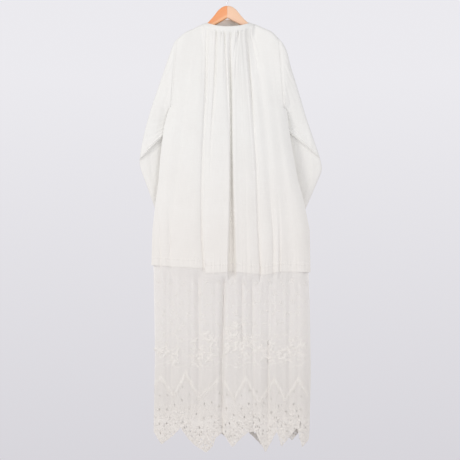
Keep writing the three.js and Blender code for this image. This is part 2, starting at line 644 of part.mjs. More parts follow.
// One half of the wooden hanger: rounded sections along the arm, drilled for the stem
function hangerArm(sideways) {
  const sections = woodStations.map(({ x, top, bottom, half }) => {
    const height = top - bottom;
    const round = Math.min(half, height / 2) * woodRounding;
    const corners = [
      [half, bottom + round], [half, top - round], [half - round * 0.3, top - round * 0.3],
      [half - round, top], [round - half, top], [round * 0.3 - half, top - round * 0.3],
      [-half, top - round], [-half, bottom + round], [round * 0.3 - half, bottom + round * 0.3],
      [round - half, bottom], [half - round, bottom], [half - round * 0.3, bottom + round * 0.3],
    ];
    return corners.map(([y, z]) => {
      return bowed(new THREE.Vector3(sideways * x, y, z + hangerTilt * sideways * x));
    });
  });
  const topZ = woodStations[0].top + 5;
  const bore = new THREE.CylinderGeometry(boreRadius, boreRadius, topZ - boreDepthZ, 16);
  bore.rotateX(Math.PI / 2);
  bore.translate(0, 0, (topZ + boreDepthZ) / 2);
  return fromSolid(toSolid(loftGeometry(sections)).subtract(toSolid(bore)));
}

// Wire hook: an arc over the rail, a bend back to the middle and the straight stem
function hangerHook() {
  const centreZ = hookWire / 2 - hookRadius;
  const onArc = (degrees) => {
    const angle = THREE.MathUtils.degToRad(degrees);
    const z = centreZ + hookRadius * Math.sin(angle);
    return new THREE.Vector3(hookRadius * Math.cos(angle), 0, z);
  };
  const points = [];
  for (let degrees = hookFreeAngle; degrees >= hookNeckAngle; degrees -= 20) {
    points.push(onArc(degrees));
  }
  points.push(new THREE.Vector3(8.5, 0, -37), new THREE.Vector3(1.8, 0, -45));
  for (const z of [-53, -58, -64, -80, stemBottomZ]) points.push(new THREE.Vector3(0, 0, z));
  const wire = new THREE.Shape();
  wire.absarc(0, 0, hookWire / 2, 0, 2 * Math.PI);
  const path = new THREE.CatmullRomCurve3(points);
  return new THREE.ExtrudeGeometry(wire, { steps: 32, curveSegments: 4, extrudePath: path });
}

// Neck band through the columns of both panels, so that its lower edge follows theirs
function neckBand() {
  const angles = [];
  for (const panel of [frontPanel, backPanel]) {
    const neck = panelColumns(panel).filter(({ span }) => span > 0 && span < panel.lines.length);
    const own = neck.map(({ span, share }) => {
      return mix(lineAngle(panel, span - 1), lineAngle(panel, span), share);
    });
    if (panel.facing < 0) angles.push(lineAngle(panel, 0), ...own);
    else angles.push(...own.slice(0, -1).reverse());
  }
  const face = (inward) => bandShares.map((share) => angles.map((angle) => {
    const { out } = bandFrame(angle);
    return bowed(bandPoint(angle, share).addScaledVector(out, -inward));
  }));
  return wallGeometry(face(0), face(bandWall), { loop: true });
}

const frontPanel = {
  ...frontBody, lines: frontLines, folds: frontFolds, rowShares: frontRowShares,
  lastColumns: lastSpanColumns.front,
};
const backPanel = {
  ...backBody, lines: backLines, folds: backFolds, rowShares: backRowShares,
  lastColumns: lastSpanColumns.back,
};
const lacePanels = {
  front: { ...laceBody.front, folds: laceFrontFolds, border: laceFrontBorder },
  back: { ...laceBody.back, folds: laceBackFolds, border: laceBackBorder },
};

const group = new THREE.Group();

function addPiece(name, geometry, look) {
  const mesh = new THREE.Mesh(geometry, new THREE.MeshStandardMaterial(look));
  mesh.name = name;
  group.add(mesh);
}

function addLinenAndLace(name, panel, lace) {
  const { outer, inner } = linenPanel(panel);
  addPiece(`${name}_panel`, wallGeometry(bowGrid(outer), bowGrid(inner)), linenLook);
  const laceOuter = laceGrid(lace, inner);
  const laceInner = innerGrid(laceOuter, lace.facing, laceWall);
  const open = (r, c) => cutRows.includes(r) && c % 2 === 1 && c < laceOuter[0].length - 2;
  addPiece(`lace_${name}`, wallGeometry(bowGrid(laceOuter), bowGrid(laceInner), { open }), laceLook);
}

function addSleeve(name, armhole, sections, outward) {
  const outer = sleeveGrid(armhole, sections, outward, 0);
  const inner = sleeveGrid(armhole, sections, outward, linenWall);
  addPiece(name, wallGeometry(outer, inner, { loop: true }), linenLook);
}

addPiece('neck_band', neckBand(), linenLook);
addLinenAndLace('front', frontPanel, lacePanels.front);
addLinenAndLace('back', backPanel, lacePanels.back);
addSleeve('sleeve_left', armholeLeft, sleeveSections.left, -1);
addSleeve('sleeve_right', armholeRight, sleeveSections.right, 1);
addPiece('hanger_arm_left', hangerArm(-1), woodLook);
addPiece('hanger_arm_right', hangerArm(1), woodLook);
addPiece('hanger_hook', hangerHook(), steelLook);

export default group;
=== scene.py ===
import json
import math

import bpy
import numpy as np
from mathutils import Vector
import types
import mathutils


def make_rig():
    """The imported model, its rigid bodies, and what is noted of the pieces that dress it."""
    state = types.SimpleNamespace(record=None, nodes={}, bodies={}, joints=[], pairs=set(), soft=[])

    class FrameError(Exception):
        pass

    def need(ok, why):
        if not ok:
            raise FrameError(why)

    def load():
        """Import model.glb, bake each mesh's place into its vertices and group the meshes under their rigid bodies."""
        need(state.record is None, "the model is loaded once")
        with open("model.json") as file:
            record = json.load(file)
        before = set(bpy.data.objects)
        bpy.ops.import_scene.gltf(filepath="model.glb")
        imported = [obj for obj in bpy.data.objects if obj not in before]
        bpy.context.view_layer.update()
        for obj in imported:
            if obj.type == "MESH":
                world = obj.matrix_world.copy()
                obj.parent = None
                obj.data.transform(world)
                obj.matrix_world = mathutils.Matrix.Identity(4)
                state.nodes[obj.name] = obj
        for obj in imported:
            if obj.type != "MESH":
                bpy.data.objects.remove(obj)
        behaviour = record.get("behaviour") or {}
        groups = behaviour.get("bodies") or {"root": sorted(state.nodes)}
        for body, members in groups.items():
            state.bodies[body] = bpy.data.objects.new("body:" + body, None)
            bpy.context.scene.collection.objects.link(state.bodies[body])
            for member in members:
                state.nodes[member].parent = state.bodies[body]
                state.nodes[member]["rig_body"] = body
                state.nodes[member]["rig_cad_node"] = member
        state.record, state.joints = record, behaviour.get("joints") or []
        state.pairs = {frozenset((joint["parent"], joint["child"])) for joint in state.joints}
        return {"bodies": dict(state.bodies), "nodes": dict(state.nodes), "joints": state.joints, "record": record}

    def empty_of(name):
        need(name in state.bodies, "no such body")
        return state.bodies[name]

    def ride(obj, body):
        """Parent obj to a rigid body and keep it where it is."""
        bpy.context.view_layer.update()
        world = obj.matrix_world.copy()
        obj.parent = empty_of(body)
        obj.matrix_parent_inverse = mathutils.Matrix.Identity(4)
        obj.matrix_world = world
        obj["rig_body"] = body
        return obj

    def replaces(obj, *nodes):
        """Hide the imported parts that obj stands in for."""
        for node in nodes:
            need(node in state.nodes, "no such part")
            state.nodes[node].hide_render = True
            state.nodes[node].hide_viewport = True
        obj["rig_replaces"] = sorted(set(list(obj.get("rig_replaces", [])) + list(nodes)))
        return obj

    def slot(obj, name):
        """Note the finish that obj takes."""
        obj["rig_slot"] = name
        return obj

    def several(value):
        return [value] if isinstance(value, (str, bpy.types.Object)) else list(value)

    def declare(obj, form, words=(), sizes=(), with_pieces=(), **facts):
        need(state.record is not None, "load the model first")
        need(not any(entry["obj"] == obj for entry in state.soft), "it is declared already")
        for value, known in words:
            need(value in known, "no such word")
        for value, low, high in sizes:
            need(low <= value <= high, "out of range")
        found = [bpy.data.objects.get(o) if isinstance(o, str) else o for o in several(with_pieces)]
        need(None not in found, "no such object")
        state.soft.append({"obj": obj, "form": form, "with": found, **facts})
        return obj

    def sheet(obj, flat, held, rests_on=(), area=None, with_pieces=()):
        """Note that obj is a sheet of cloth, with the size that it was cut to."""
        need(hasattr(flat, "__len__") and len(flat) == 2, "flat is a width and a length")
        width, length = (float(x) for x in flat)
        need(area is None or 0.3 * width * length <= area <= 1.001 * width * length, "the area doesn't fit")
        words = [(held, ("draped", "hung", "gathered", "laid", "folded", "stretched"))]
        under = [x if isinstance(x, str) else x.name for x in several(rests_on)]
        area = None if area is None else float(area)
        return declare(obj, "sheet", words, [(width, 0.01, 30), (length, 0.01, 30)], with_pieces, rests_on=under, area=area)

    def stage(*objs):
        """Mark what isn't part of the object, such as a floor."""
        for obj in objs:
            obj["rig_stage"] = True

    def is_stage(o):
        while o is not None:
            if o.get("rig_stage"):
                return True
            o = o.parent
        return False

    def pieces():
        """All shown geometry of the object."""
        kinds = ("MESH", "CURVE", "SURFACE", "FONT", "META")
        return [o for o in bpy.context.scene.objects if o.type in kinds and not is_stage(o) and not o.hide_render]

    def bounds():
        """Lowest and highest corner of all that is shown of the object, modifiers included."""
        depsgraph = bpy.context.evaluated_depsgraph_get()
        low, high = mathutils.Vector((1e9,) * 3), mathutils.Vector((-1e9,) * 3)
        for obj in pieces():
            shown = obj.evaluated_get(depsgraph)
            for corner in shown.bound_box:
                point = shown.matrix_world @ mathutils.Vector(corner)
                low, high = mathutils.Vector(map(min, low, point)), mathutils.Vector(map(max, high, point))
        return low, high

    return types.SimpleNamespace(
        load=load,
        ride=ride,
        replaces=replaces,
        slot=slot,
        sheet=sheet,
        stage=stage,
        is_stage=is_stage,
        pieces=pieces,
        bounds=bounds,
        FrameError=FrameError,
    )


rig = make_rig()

# A long linen smock with a lace skirt, on a wooden hanger. Tables are in millimetres, meshes in metres.
# X runs to the right seen from the front, the front faces -Y, and the hook's inside top is the origin.
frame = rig.load()
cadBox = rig.bounds()
rng = np.random.default_rng(11)

cloth = {"linenWall": 1.0, "laceWall": 0.7, "seamGap": 0.05, "edgeDepth": 1.2, "laceClear": 0.5,
         "hemHeight": 27, "hemExtra": 0.8, "seamDip": 1.5}
bow = {"depth": 14, "reach": 190, "fullZ": -180, "noneZ": -640}  # the hanger's forward bow
levels = [-150, -250, -360, -470, -574, -706, -820, -930]  # heights that the linen's tables use
hemLevel = -930.0
bothSides = ("left", "right")


# Small helpers
def mix(a, b, share):
    return a + (b - a) * share


def clamp01(value):
    return np.clip(value, 0, 1)


def smooth(value):
    value = clamp01(value)
    return value * value * (3 - 2 * value)


def readTable(places, values, at, soft=0):  # soft rounds off the table's corners
    places, values, at = [np.asarray(column, float) for column in (places, values, at)]
    if places[-1] < places[0]:
        places, values = places[::-1], values[::-1]
    if not soft:
        return np.interp(at, places, values)
    reach = np.clip(np.minimum(at - places[0], places[-1] - at), 0, soft)
    return sum(np.interp(at + reach * step, places, values) for step in (-1, -0.5, 0, 0.5, 1)) / 5


def readRows(rows, at, soft=0):
    return readTable(*zip(*rows), at, soft)


def ripple(at, waves):  # uneven waves: height, length and turn of each
    return sum(high * np.sin(2 * math.pi * at / long + turn) for high, long, turn in waves)


def unit(vectors):
    return vectors / np.maximum(np.linalg.norm(vectors, axis=-1, keepdims=True), 1e-9)


def circle(count):
    return np.linspace(0, 2 * math.pi, count, endpoint=False)


def bowed(points):
    across = np.minimum(np.abs(points[..., 0]), bow["reach"]) / bow["reach"]
    fade = smooth((points[..., 2] - bow["noneZ"]) / (bow["fullZ"] - bow["noneZ"]))
    moved = points.copy()
    moved[..., 1] -= bow["depth"] * fade * (1 - np.cos(math.pi * across)) / 2
    return moved


# The inner face of a panel: one wall inside its outer face, and never past the middle
def insideOf(grid, facing, wall):
    normals = unit(np.cross(np.gradient(grid, axis=1), np.gradient(grid, axis=0)))
    normals = np.where((normals[..., 1] * facing < 0)[..., None], -normals, normals)
    normals[:, [0, -1]] = (0, facing, 0)
    inner = grid - normals * wall
    inner[..., 1] = facing * np.maximum(facing * inner[..., 1], cloth["seamGap"])
    return inner


def addObject(name, data):
    thing = bpy.data.objects.new(name, data)
    bpy.context.scene.collection.objects.link(thing)
    return thing


def plainMesh(name, points, edges, faces):
    mesh = bpy.data.meshes.new(name)
    mesh.from_pydata(points, edges, faces)
    return mesh


def addPiece(name, node, points, faces, material, slot, uvs=None, sharp=50):
    mesh = plainMesh(name, (points.reshape(-1, 3) / 1000).tolist(), [], faces)
    if uvs is not None:
        layer = mesh.uv_layers.new(name="cloth")
        layer.data.foreach_set("uv", np.asarray(uvs, np.float32).ravel() / 1000)
    mesh.shade_smooth()
    mesh.set_sharp_from_angle(angle=math.radians(sharp))
    mesh.materials.append(material)
    piece = addObject(name, mesh)
    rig.ride(piece, "root")
    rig.slot(piece, slot)
    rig.replaces(piece, node)
    return piece


# A closed thin shell between an outer and an inner grid of points, with any cells left open
def shell(name, node, outer, inner, flat, material, slot, loop=False, openCells=None):
    rows, columns = outer.shape[:2]
    filled = np.zeros((rows + 1, columns + (2 if loop else 1)), bool)
    filled[1:-1, 1:-1] = True if openCells is None else ~openCells
    if loop:
        filled[:, 0], filled[:, -1] = filled[:, -2], filled[:, 1]
    r, c = np.nonzero(filled[1:-1, 1:-1])
    faces, uvs = [], []

    def addQuads(corners):  # each corner's side (0 outside, 1 inside), row and column
        faces.append(np.stack([(side * rows + y) * columns + x % columns for side, y, x in corners], 1))
        uvs.append(np.stack([flat[y, x] for _, y, x in corners], 1))

    quad = [(r, c), (r + 1, c), (r + 1, c + 1), (r, c + 1)]
    addQuads([(0, *corner) for corner in quad])
    addQuads([(1, *corner) for corner in quad[::-1]])
    for down, across, first, second in [(-1, 0, (0, 0), (0, 1)), (1, 0, (1, 1), (1, 0)),
                                        (0, -1, (1, 0), (0, 0)), (0, 1, (0, 1), (1, 1))]:
        bare = ~filled[r + 1 + down, c + 1 + across]
        a, b = [(r[bare] + step[0], c[bare] + step[1]) for step in (first, second)]
        addQuads([(0, *a), (0, *b), (1, *b), (1, *a)])
    faces, uvs = np.concatenate(faces), np.concatenate(uvs)
    points = bowed(np.concatenate([outer.reshape(-1, 3), inner.reshape(-1, 3)]))
    one, two, three, four = points[faces].transpose(1, 0, 2)
    if (np.cross(one, two) * three + np.cross(one, three) * four).sum() < 0:
        faces, uvs = faces[:, ::-1], uvs[:, ::-1]
    used, faces = np.unique(faces, return_inverse=True)
    return addPiece(name, node, points[used], faces.reshape(-1, 4).tolist(), material, slot, uvs)


# Valleys of the folds at a place, as a depth to take away. A fold with steep sides has a higher power.
def foldDepth(folds, heights, x, z, power=None):
    total = 0
    for lines, depths, width, *own in folds:
        line, deep = readTable(heights, lines, z, 45), readTable(heights, depths, z, 45)
        away = np.abs(x - line) / (readTable(heights, width, z, 45) if isinstance(width, list) else width)
        steep = own[0] if own else power
        if steep:
            total = total + deep * np.exp(-away ** steep)
        else:
            total = total + deep * (0.5 * np.exp(-away ** 2) + 0.5 * np.exp(-(away / 0.36) ** 1.4))
    return total


# The arch of a panel between its side edges, and how far in from them a place lies, up to 1
def arch(panel, heights, soft, edges, x, z):
    left, right = edges
    fromMiddle = np.clip((2 * x - left - right) / (right - left), -1, 1)
    fromEdge = clamp01(np.minimum(x - left, right - x) / panel["rise"])
    return mix(panel["side"], readTable(heights, panel["centre"], z, soft), 1 - fromMiddle ** 2), fromEdge


# The body of the smock: the armholes, side seams, shoulder line and hem that its two panels share
armholes = {
    "left": {"topX": -169.5, "topZ": -181, "bottomX": -187, "bottomZ": -398},
    "right": {"topX": 171.3, "topZ": -178, "bottomX": 189, "bottomZ": -400},
}
armholeHalfOpen = 12
sideSeams = {
    "left": [(-398, -187), (-404, -192), (-420, -197), (-469, -209.5), (-574, -222), (-640, -227),
             (-706, -236), (-805, -247), (-950, -251)],
    "right": [(-400, 189), (-406, 194), (-422, 198), (-470, 203), (-574, 221), (-640, 233), (-706, 252),
              (-805, 272), (-950, 275)],
}
shoulderLeft = [(-169.5, -181), (-160, -172), (-149.5, -163.5), (-137, -152.5), (-116.5, -144.6),
                (-103, -137), (-90, -130.6), (-81.8, -126.9)]
shoulderRight = [(88.2, -126.9), (95, -128.3), (108, -135), (121, -140.3), (146, -151.5), (160, -164.5),
                 (171.3, -178)]
linenHem = [(-251, -921), (-166, -927), (-76, -930.5), (-70, -947), (-4, -944), (15, -939.5), (30, -943),
            (103, -950.5), (120, -953.5), (174, -941.8), (275, -944.5)]

# Folds: X at each level, depth at each level, width, and a power where the sides are steep or round
frontFolds = [
    ([-66, -68.5, -70.5, -74, -80.5, -83.5, -85, -78], [5, 8, 7, 7, 6, 6, 7, 7],
     [9, 10, 11, 12, 12, 12, 12, 12], 1.1),
    ([-34, -38, -41, -52, -56, -57, -58, -60], [4, 6, 5, 3, 1.2, 0, 0, 0], 10),
    ([-10, -5, 0, 4, 8, 10, 12, 12], [4, 5, 5, 3, 0, 0, 0, 0], 8),
    ([10, 9, 12, 13, 13.5, 14.5, 15.5, 15], [2, 7, 9, 10, 12, 16, 20, 21],
     [9, 6, 4.5, 4, 4.5, 6, 9, 11.5], 4),
    ([36, 18, 12, 12, 12, 12, 12, 12], [4, 3, 0, 0, 0, 0, 0, 0], 7),
    ([62, 70, 81, 84.5, 93.7, 98.3, 102, 108], [5, 8, 7, 6, 5, 5, 7, 6], [8, 9, 10, 11, 11, 11, 11, 11], 1.1),
    ([70, 94, 111, 123, 134, 141, 154, 151], [2, 4, 4, 3.5, 3.5, 3.5, 4, 4], 13, 2),
    ([-120, -130, -140, -150, -160, -175, -186, -190], [0, 1, 2, 2, 2, 2, 3, 5], 18, 2),
    ([-150, -160, -180, -200, -205, -212, -220, -223], [0, 0, 0, 0, 0, 0, 2, 4], 11, 2),
    ([130, 140, 155, 165, 178, 190, 200, 210], [0, 1, 2, 2.5, 2.5, 2.5, 3, 4], 18, 2),
]
backFolds = [
    ([-62, -66, -72, -78, -84, -90, -95, -98], [4, 6, 6, 6, 5, 5, 5, 5], 12),
    ([-30, -33, -38, -42, -46, -46, -44, -42], [3, 6, 7, 7, 6, 6, 7, 7], 11),
    ([4, 2, 0, -2, 0, 2, 4, 6], [3, 6, 7, 5, 4, 6, 8, 8], 11),
    ([36, 38, 42, 50, 56, 60, 62, 64], [4, 6, 7, 7, 6, 5, 5, 6], 12),
    ([68, 78, 92, 102, 112, 122, 130, 138], [3, 5, 5, 5, 5, 5, 5, 5], 13),
]
# Fine creases along the folds: pressed-in lines, and ridges where the depth is below zero
frontCreases = [
    ([-68, -70, -72, -79, -83, -86, -85, -78], [1.6, 2.8, 2.8, 2.6, 2.2, 2, 2, 1.6], 2.4),
    ([-60, -61, -64, -71, -76, -79, -79, -73], [-1.6, -2.4, -2, -1.6, -1.2, -1, -1, -1], 3.4),
    ([-36, -39, -44, -52, -56, -57, -58, -60], [2, 2.8, 2.4, 1.4, 0.4, 0, 0, 0], 2.4),
    ([-29, -32, -36, -45, -50, -52, -53, -54], [-1.2, -1.8, -1.4, -0.6, 0, 0, 0, 0], 3.4),
    ([-11, -3, 3, 8, 11, 13, 14, 14], [2, 2.8, 2.6, 1.6, 0.4, 0, 0, 0], 2.4),
    ([26, 22, 24, 26, 27, 29, 32, 34], [-1.6, -1.8, -1.6, -1.2, -1, -1, -1, -1], 5),
    ([36, 30, 22, 18, 16, 16, 16, 16], [2.2, 1.6, 0.6, 0, 0, 0, 0, 0], 2.4),
    ([10, 9, 12, 13, 13.5, 14.5, 16, 15], [2, 4, 5, 5, 5, 5.5, 4, 2], 1.8),
    ([57, 64, 72, 80, 88, 93, 97, 100], [-2, -2.6, -2, -1.4, -1, -1, -1, -1], 3.4),
    ([64, 71, 80, 88, 96, 100, 104, 108], [2.4, 3.2, 3, 2.6, 2.2, 2, 2, 2], 2.4),
    ([72, 97, 114, 124, 134, 141, 152, 151], [1.4, 1, 0.4, 0, 0, 0.6, 2.4, 3.6], 3),
    ([80, 108, 126, 138, 148, 156, 164, 166], [-0.4, -0.5, 0, 0, 0, -0.4, -1, -1.2], 5),
    ([84, 112, 132, 146, 158, 168, 174, 172], [0.6, 0.7, 0.2, 0, 0, 0.5, 2.6, 3.8], 3),
    ([-230, -226, -224, -222, -222, -222, -222, -221], [0, 0, 0, 0, 0.3, 1.0, 2.6, 3.6], 3),
    ([-196, -196, -195, -194, -193, -192, -190, -187], [0, 0, 0, 0, 0.2, 0.8, 2.2, 3.2], 3),
    ([40, 44, 50, 56, 60, 62, 64, 66], [0.8, 0.9, 0.4, 0.2, 0.3, 0.5, 0.8, 1.2], 3.5),
]
backCreases = [
    ([-64, -68, -74, -80, -86, -92, -96, -99], [1.4, 2, 2.2, 2, 1.8, 1.6, 1.6, 1.6], 2.6),
    ([-57, -60, -66, -72, -78, -84, -89, -92], [-1, -1.5, -1.4, -1.2, -1, -1, -1, -1], 3.4),
    ([-31, -34, -39, -43, -47, -47, -45, -43], [1, 1.8, 2, 2, 1.6, 1.8, 2, 2], 2.5),
    ([5, 3, 1, -1, 1, 3, 5, 7], [1, 2, 2, 1.6, 1.2, 1.6, 2.2, 2.4], 2.6),
    ([12, 11, 9, 8, 9, 11, 14, 16], [-0.8, -1.4, -1.4, -1, -0.8, -1, -1.2, -1.4], 4),
    ([37, 39, 43, 51, 57, 61, 63, 65], [1.2, 1.6, 2, 2, 2, 1.6, 1.6, 1.8], 2.6),
    ([70, 80, 94, 104, 114, 124, 132, 140], [1, 1.6, 1.6, 1.6, 1.4, 1.6, 1.6, 1.6], 3),
    ([-150, -160, -170, -178, -186, -192, -198, -203], [0, 0.3, 0.6, 0.8, 1, 1, 1.4, 1.8], 4),
    ([150, 160, 172, 184, 194, 204, 214, 222], [0, 0.3, 0.6, 0.8, 1, 1, 1.2, 1.6], 4),
]

# Lines that the columns follow down from the neck, with the coarse columns between each two
frontLines = [
    ([-81.8, -92, -98, -104, -110, -116, -120, -122], 8), (frontFolds[0][0], 3),
    ([-34, -38, -41, -50, -53, -54, -52, -46], 5), (frontCreases[7][0], 6), (frontFolds[5][0], 8),
    ([74, 94, 111, 123, 134, 141, 150, 151], 3), ([88.2, 108, 126, 140, 152, 164, 174, 180], 3),
]
backLines = [
    ([-81.8, -92, -98, -106, -114, -122, -126, -130], 7),
    *[(fold[0], columns) for fold, columns in zip(backFolds, (3, 4, 5, 5, 4))],
    ([88.2, 104, 120, 134, 146, 158, 168, 176], 3),
]
frontPanel = {
    "facing": -1, "shoulder": 11.2, "side": 11, "rise": 34, "ring": 39.5, "turn": 0.4,
    "centre": [39, 36, 33, 31, 30, 29, 29, 29], "folds": frontFolds, "creases": frontCreases,
    "lines": frontLines, "lastColumns": 8,
}
backPanel = {
    "facing": 1, "shoulder": 11.2, "side": 8, "rise": 30, "ring": 35, "turn": 2.1,
    "centre": [34, 29, 24, 21, 20, 20, 21, 22], "folds": backFolds, "creases": backCreases,
    "lines": backLines, "lastColumns": 7,
}
gathers = {"depth": 2.3, "reach": 62, "uneven": 0.55, "fine": 1.0, "fineReach": 26, "onset": 6, "lead": 12}
panelDetail = {"neckFine": 6, "sideFine": 4, "neckRows": 26, "bodyRows": 166, "nearNeck": 52, "topReach": 70,
               "crownReach": 260}
hemRows = [0.4, 0.8, 1.2, 4, 8, 12, 16, 20, 23.5, 25.5, 26.6, 27.0]  # how far below the turned hem's top

# Neck band: half-width and depths of its two edges, and their heights at the side, front and back
band = {
    "wall": 3.0, "centreX": 3.2, "sag": 1.7, "radius": 75, "tall": 17, "around": 400, "rows": 15,
    "top": {"halfWidth": 71.8, "front": 37, "back": 33, "sideZ": -121.3, "frontZ": -137.5, "backZ": -106},
    "bottom": {"halfWidth": 85, "front": 40.5, "back": 36, "sideZ": -126.6, "frontZ": -152, "backZ": -124.5},
}


def bandPoint(angle, share):
    front, toMiddle = np.sin(angle) < 0, np.abs(np.sin(angle)) ** band["sag"]

    def ringPoint(ring):
        depth = np.where(front, ring["front"], ring["back"])
        height = mix(ring["sideZ"], np.where(front, ring["frontZ"], ring["backZ"]), toMiddle)
        x = band["centreX"] + ring["halfWidth"] * np.cos(angle)
        return np.stack([x, depth * np.sin(angle), height], -1)

    return mix(ringPoint(band["top"]), ringPoint(band["bottom"]), np.asarray(share)[..., None])


def bandFrame(angle):
    along = unit(bandPoint(angle + 0.01, 1.0) - bandPoint(angle - 0.01, 1.0))
    down = unit(bandPoint(angle, 1.0) - bandPoint(angle, 0.0))
    return down, unit(-np.cross(along, down))


def armholeX(side, z):
    hole = armholes[side]
    return mix(hole["topX"], hole["bottomX"], (z - hole["topZ"]) / (hole["bottomZ"] - hole["topZ"]))


def armholeOpening(x, z):
    top, bottom = [np.where(x < 0, armholes["left"][end], armholes["right"][end])
                   for end in ("topZ", "bottomZ")]
    across = np.abs(2 * (z - top) / (bottom - top) - 1)
    share = np.where(across < 1, np.maximum(1 - np.minimum(across, 1) ** 3, 0) ** (1 / 3), 0)
    return cloth["edgeDepth"] + (armholeHalfOpen - cloth["edgeDepth"]) * share


def linenEdges(z):
    return [np.where(z > armholes[side]["bottomZ"], armholeX(side, z), readRows(sideSeams[side], z))
            for side in bothSides]


# Low waves of washed linen: slow ones down the cloth, and puckers above the hem
def clothRipple(panel, x, z):
    turn = panel["turn"]
    lean = x / (1 + 0.0011 * np.clip(-150 - z, 0, 800))
    long = ripple(lean, [(0.16, 21, turn), (0.22, 37, turn * 2), (0.08, 13, turn * 3)])
    slow = ripple(z + 0.6 * x, [(0.3, 170, turn), (0.2, 97, 2 * turn)])
    overHem = z - readRows(linenHem, x)
    pucker = ripple(x, [(0.55, 9.3, turn), (0.4, 14.7, 2 * turn), (0.3, 6.1, 3 * turn)])
    pucker = pucker * np.exp(-np.maximum(overHem - cloth["hemHeight"], 0) / 22) * smooth((overHem + 12) / 30)
    return (long * 0.9 + slow) * smooth((-170 - z) / 120) + pucker * (z < -700)


# How far a panel's outer face hangs off the middle surface at a place
def hangDepth(panel, x, z):
    left, right = linenEdges(z)
    low, fromEdge = arch(panel, levels, 45, (left, right), x, z)
    overBand = np.maximum(0, 1 - ((x - band["centreX"]) / band["bottom"]["halfWidth"]) ** 2)
    settled = smooth((-128 - z) / 60)  # the band's round corner softens below it
    high = mix(panel["shoulder"], panel["ring"], overBand ** mix(0.5, 1.25, settled))
    crown = mix(high, low, smooth((levels[0] - z) / panelDetail["crownReach"]))
    full = crown - foldDepth(panel["folds"], levels, x, z) - foldDepth(panel["creases"], levels, x, z, 2)
    opening = armholeOpening(x, z)
    softer = sum(armholeOpening(x, z + away) for away in (-36, -24, -12, 0, 12, 24, 36)) / 7
    opening = mix(opening, softer, clamp01(fromEdge * 3.5))
    seam = np.exp(-((np.minimum(x - left, right - x) - 1.5) / 2.4) ** 2)
    seam = seam * clamp01((opening - cloth["edgeDepth"]) / 3) * cloth["seamDip"]
    return mix(full + clothRipple(panel, x, z), opening, (1 - fromEdge) ** 2) - seam


def hemTurn(overHem):  # the turned hem stands out a little
    return cloth["hemExtra"] * smooth((cloth["hemHeight"] - overHem) / 1.2)


# The columns across a panel: the span each is in, its share of that span and its coarse place
def panelColumns(panel):
    columns, start = [], 0
    counts = [count for _, count in panel["lines"]] + [panel["lastColumns"]]
    for span, count in enumerate(counts):
        fine = panelDetail["sideFine"] if span in (0, len(counts) - 1) else panelDetail["neckFine"]
        shares = np.arange(0 if span == 0 else 1, count * fine + 1) / (count * fine)
        columns.append(np.stack([np.full(len(shares), span), shares, start + shares * count]))
        start += count
    spans, shares, coarse = np.concatenate(columns, 1)
    return spans.astype(int), shares, coarse


# The panel's upper edge: sewn under the band between its first and last line, and along the shoulders
def panelTop(panel, spans, shares):
    last = len(panel["lines"])
    across = [(line[0] - band["centreX"]) / band["bottom"]["halfWidth"] for line, _ in panel["lines"]]
    angles = panel["facing"] * np.arccos(np.clip(across, -1, 1))
    angle = mix(angles[np.clip(spans - 1, 0, last - 1)], angles[np.clip(spans, 0, last - 1)], shares)
    down, out = bandFrame(angle)
    sewn = bandPoint(angle, 1.0) - down * 2.0 - out * ((band["wall"] - cloth["linenWall"]) / 2)
    leftX = mix(armholes["left"]["topX"], panel["lines"][0][0][0], shares)
    rightX = mix(panel["lines"][-1][0][0], armholes["right"]["topX"], shares)
    left = np.stack([leftX, 0 * leftX, readRows(shoulderLeft, leftX, 6)], -1)
    right = np.stack([rightX, 0 * rightX, readRows(shoulderRight, rightX, 6)], -1)
    seam = np.where((spans == 0)[:, None], left, right)
    onBand = ((spans > 0) & (spans < last)) | ((spans == 0) & (shares == 1))
    return np.where(onBand[:, None], sewn, seam), onBand, down


# Gathers under the band: uneven pleats that fade out downwards, with finer ones between them
def gatherDepth(panel, coarse, drop):
    columns = sum(count for _, count in panel["lines"][1:])
    neckPlace = clamp01((coarse - panel["lines"][0][1]) / columns)
    gathered = np.sqrt(np.maximum(np.sin(math.pi * neckPlace), 0))
    pleat = np.abs(np.sin(math.pi / 2 * coarse + 0.45 * np.sin(coarse * 1.7) + 0.3))
    deep = (2 * pleat ** 0.8 - 1.15) * gathers["depth"]
    fine = ripple(coarse, [(1.0, 0.83, 0.4), (0.7, 0.61, 1.9)]) * gathers["fine"]
    reach = gathers["reach"] * (1 + gathers["uneven"] * np.sin(coarse * 2.3 + panel["turn"]))
    both = deep * np.exp(-drop / reach) + fine * np.exp(-drop / gathers["fineReach"])
    return gathered * (1 - np.exp(-drop / gathers["onset"])) * both


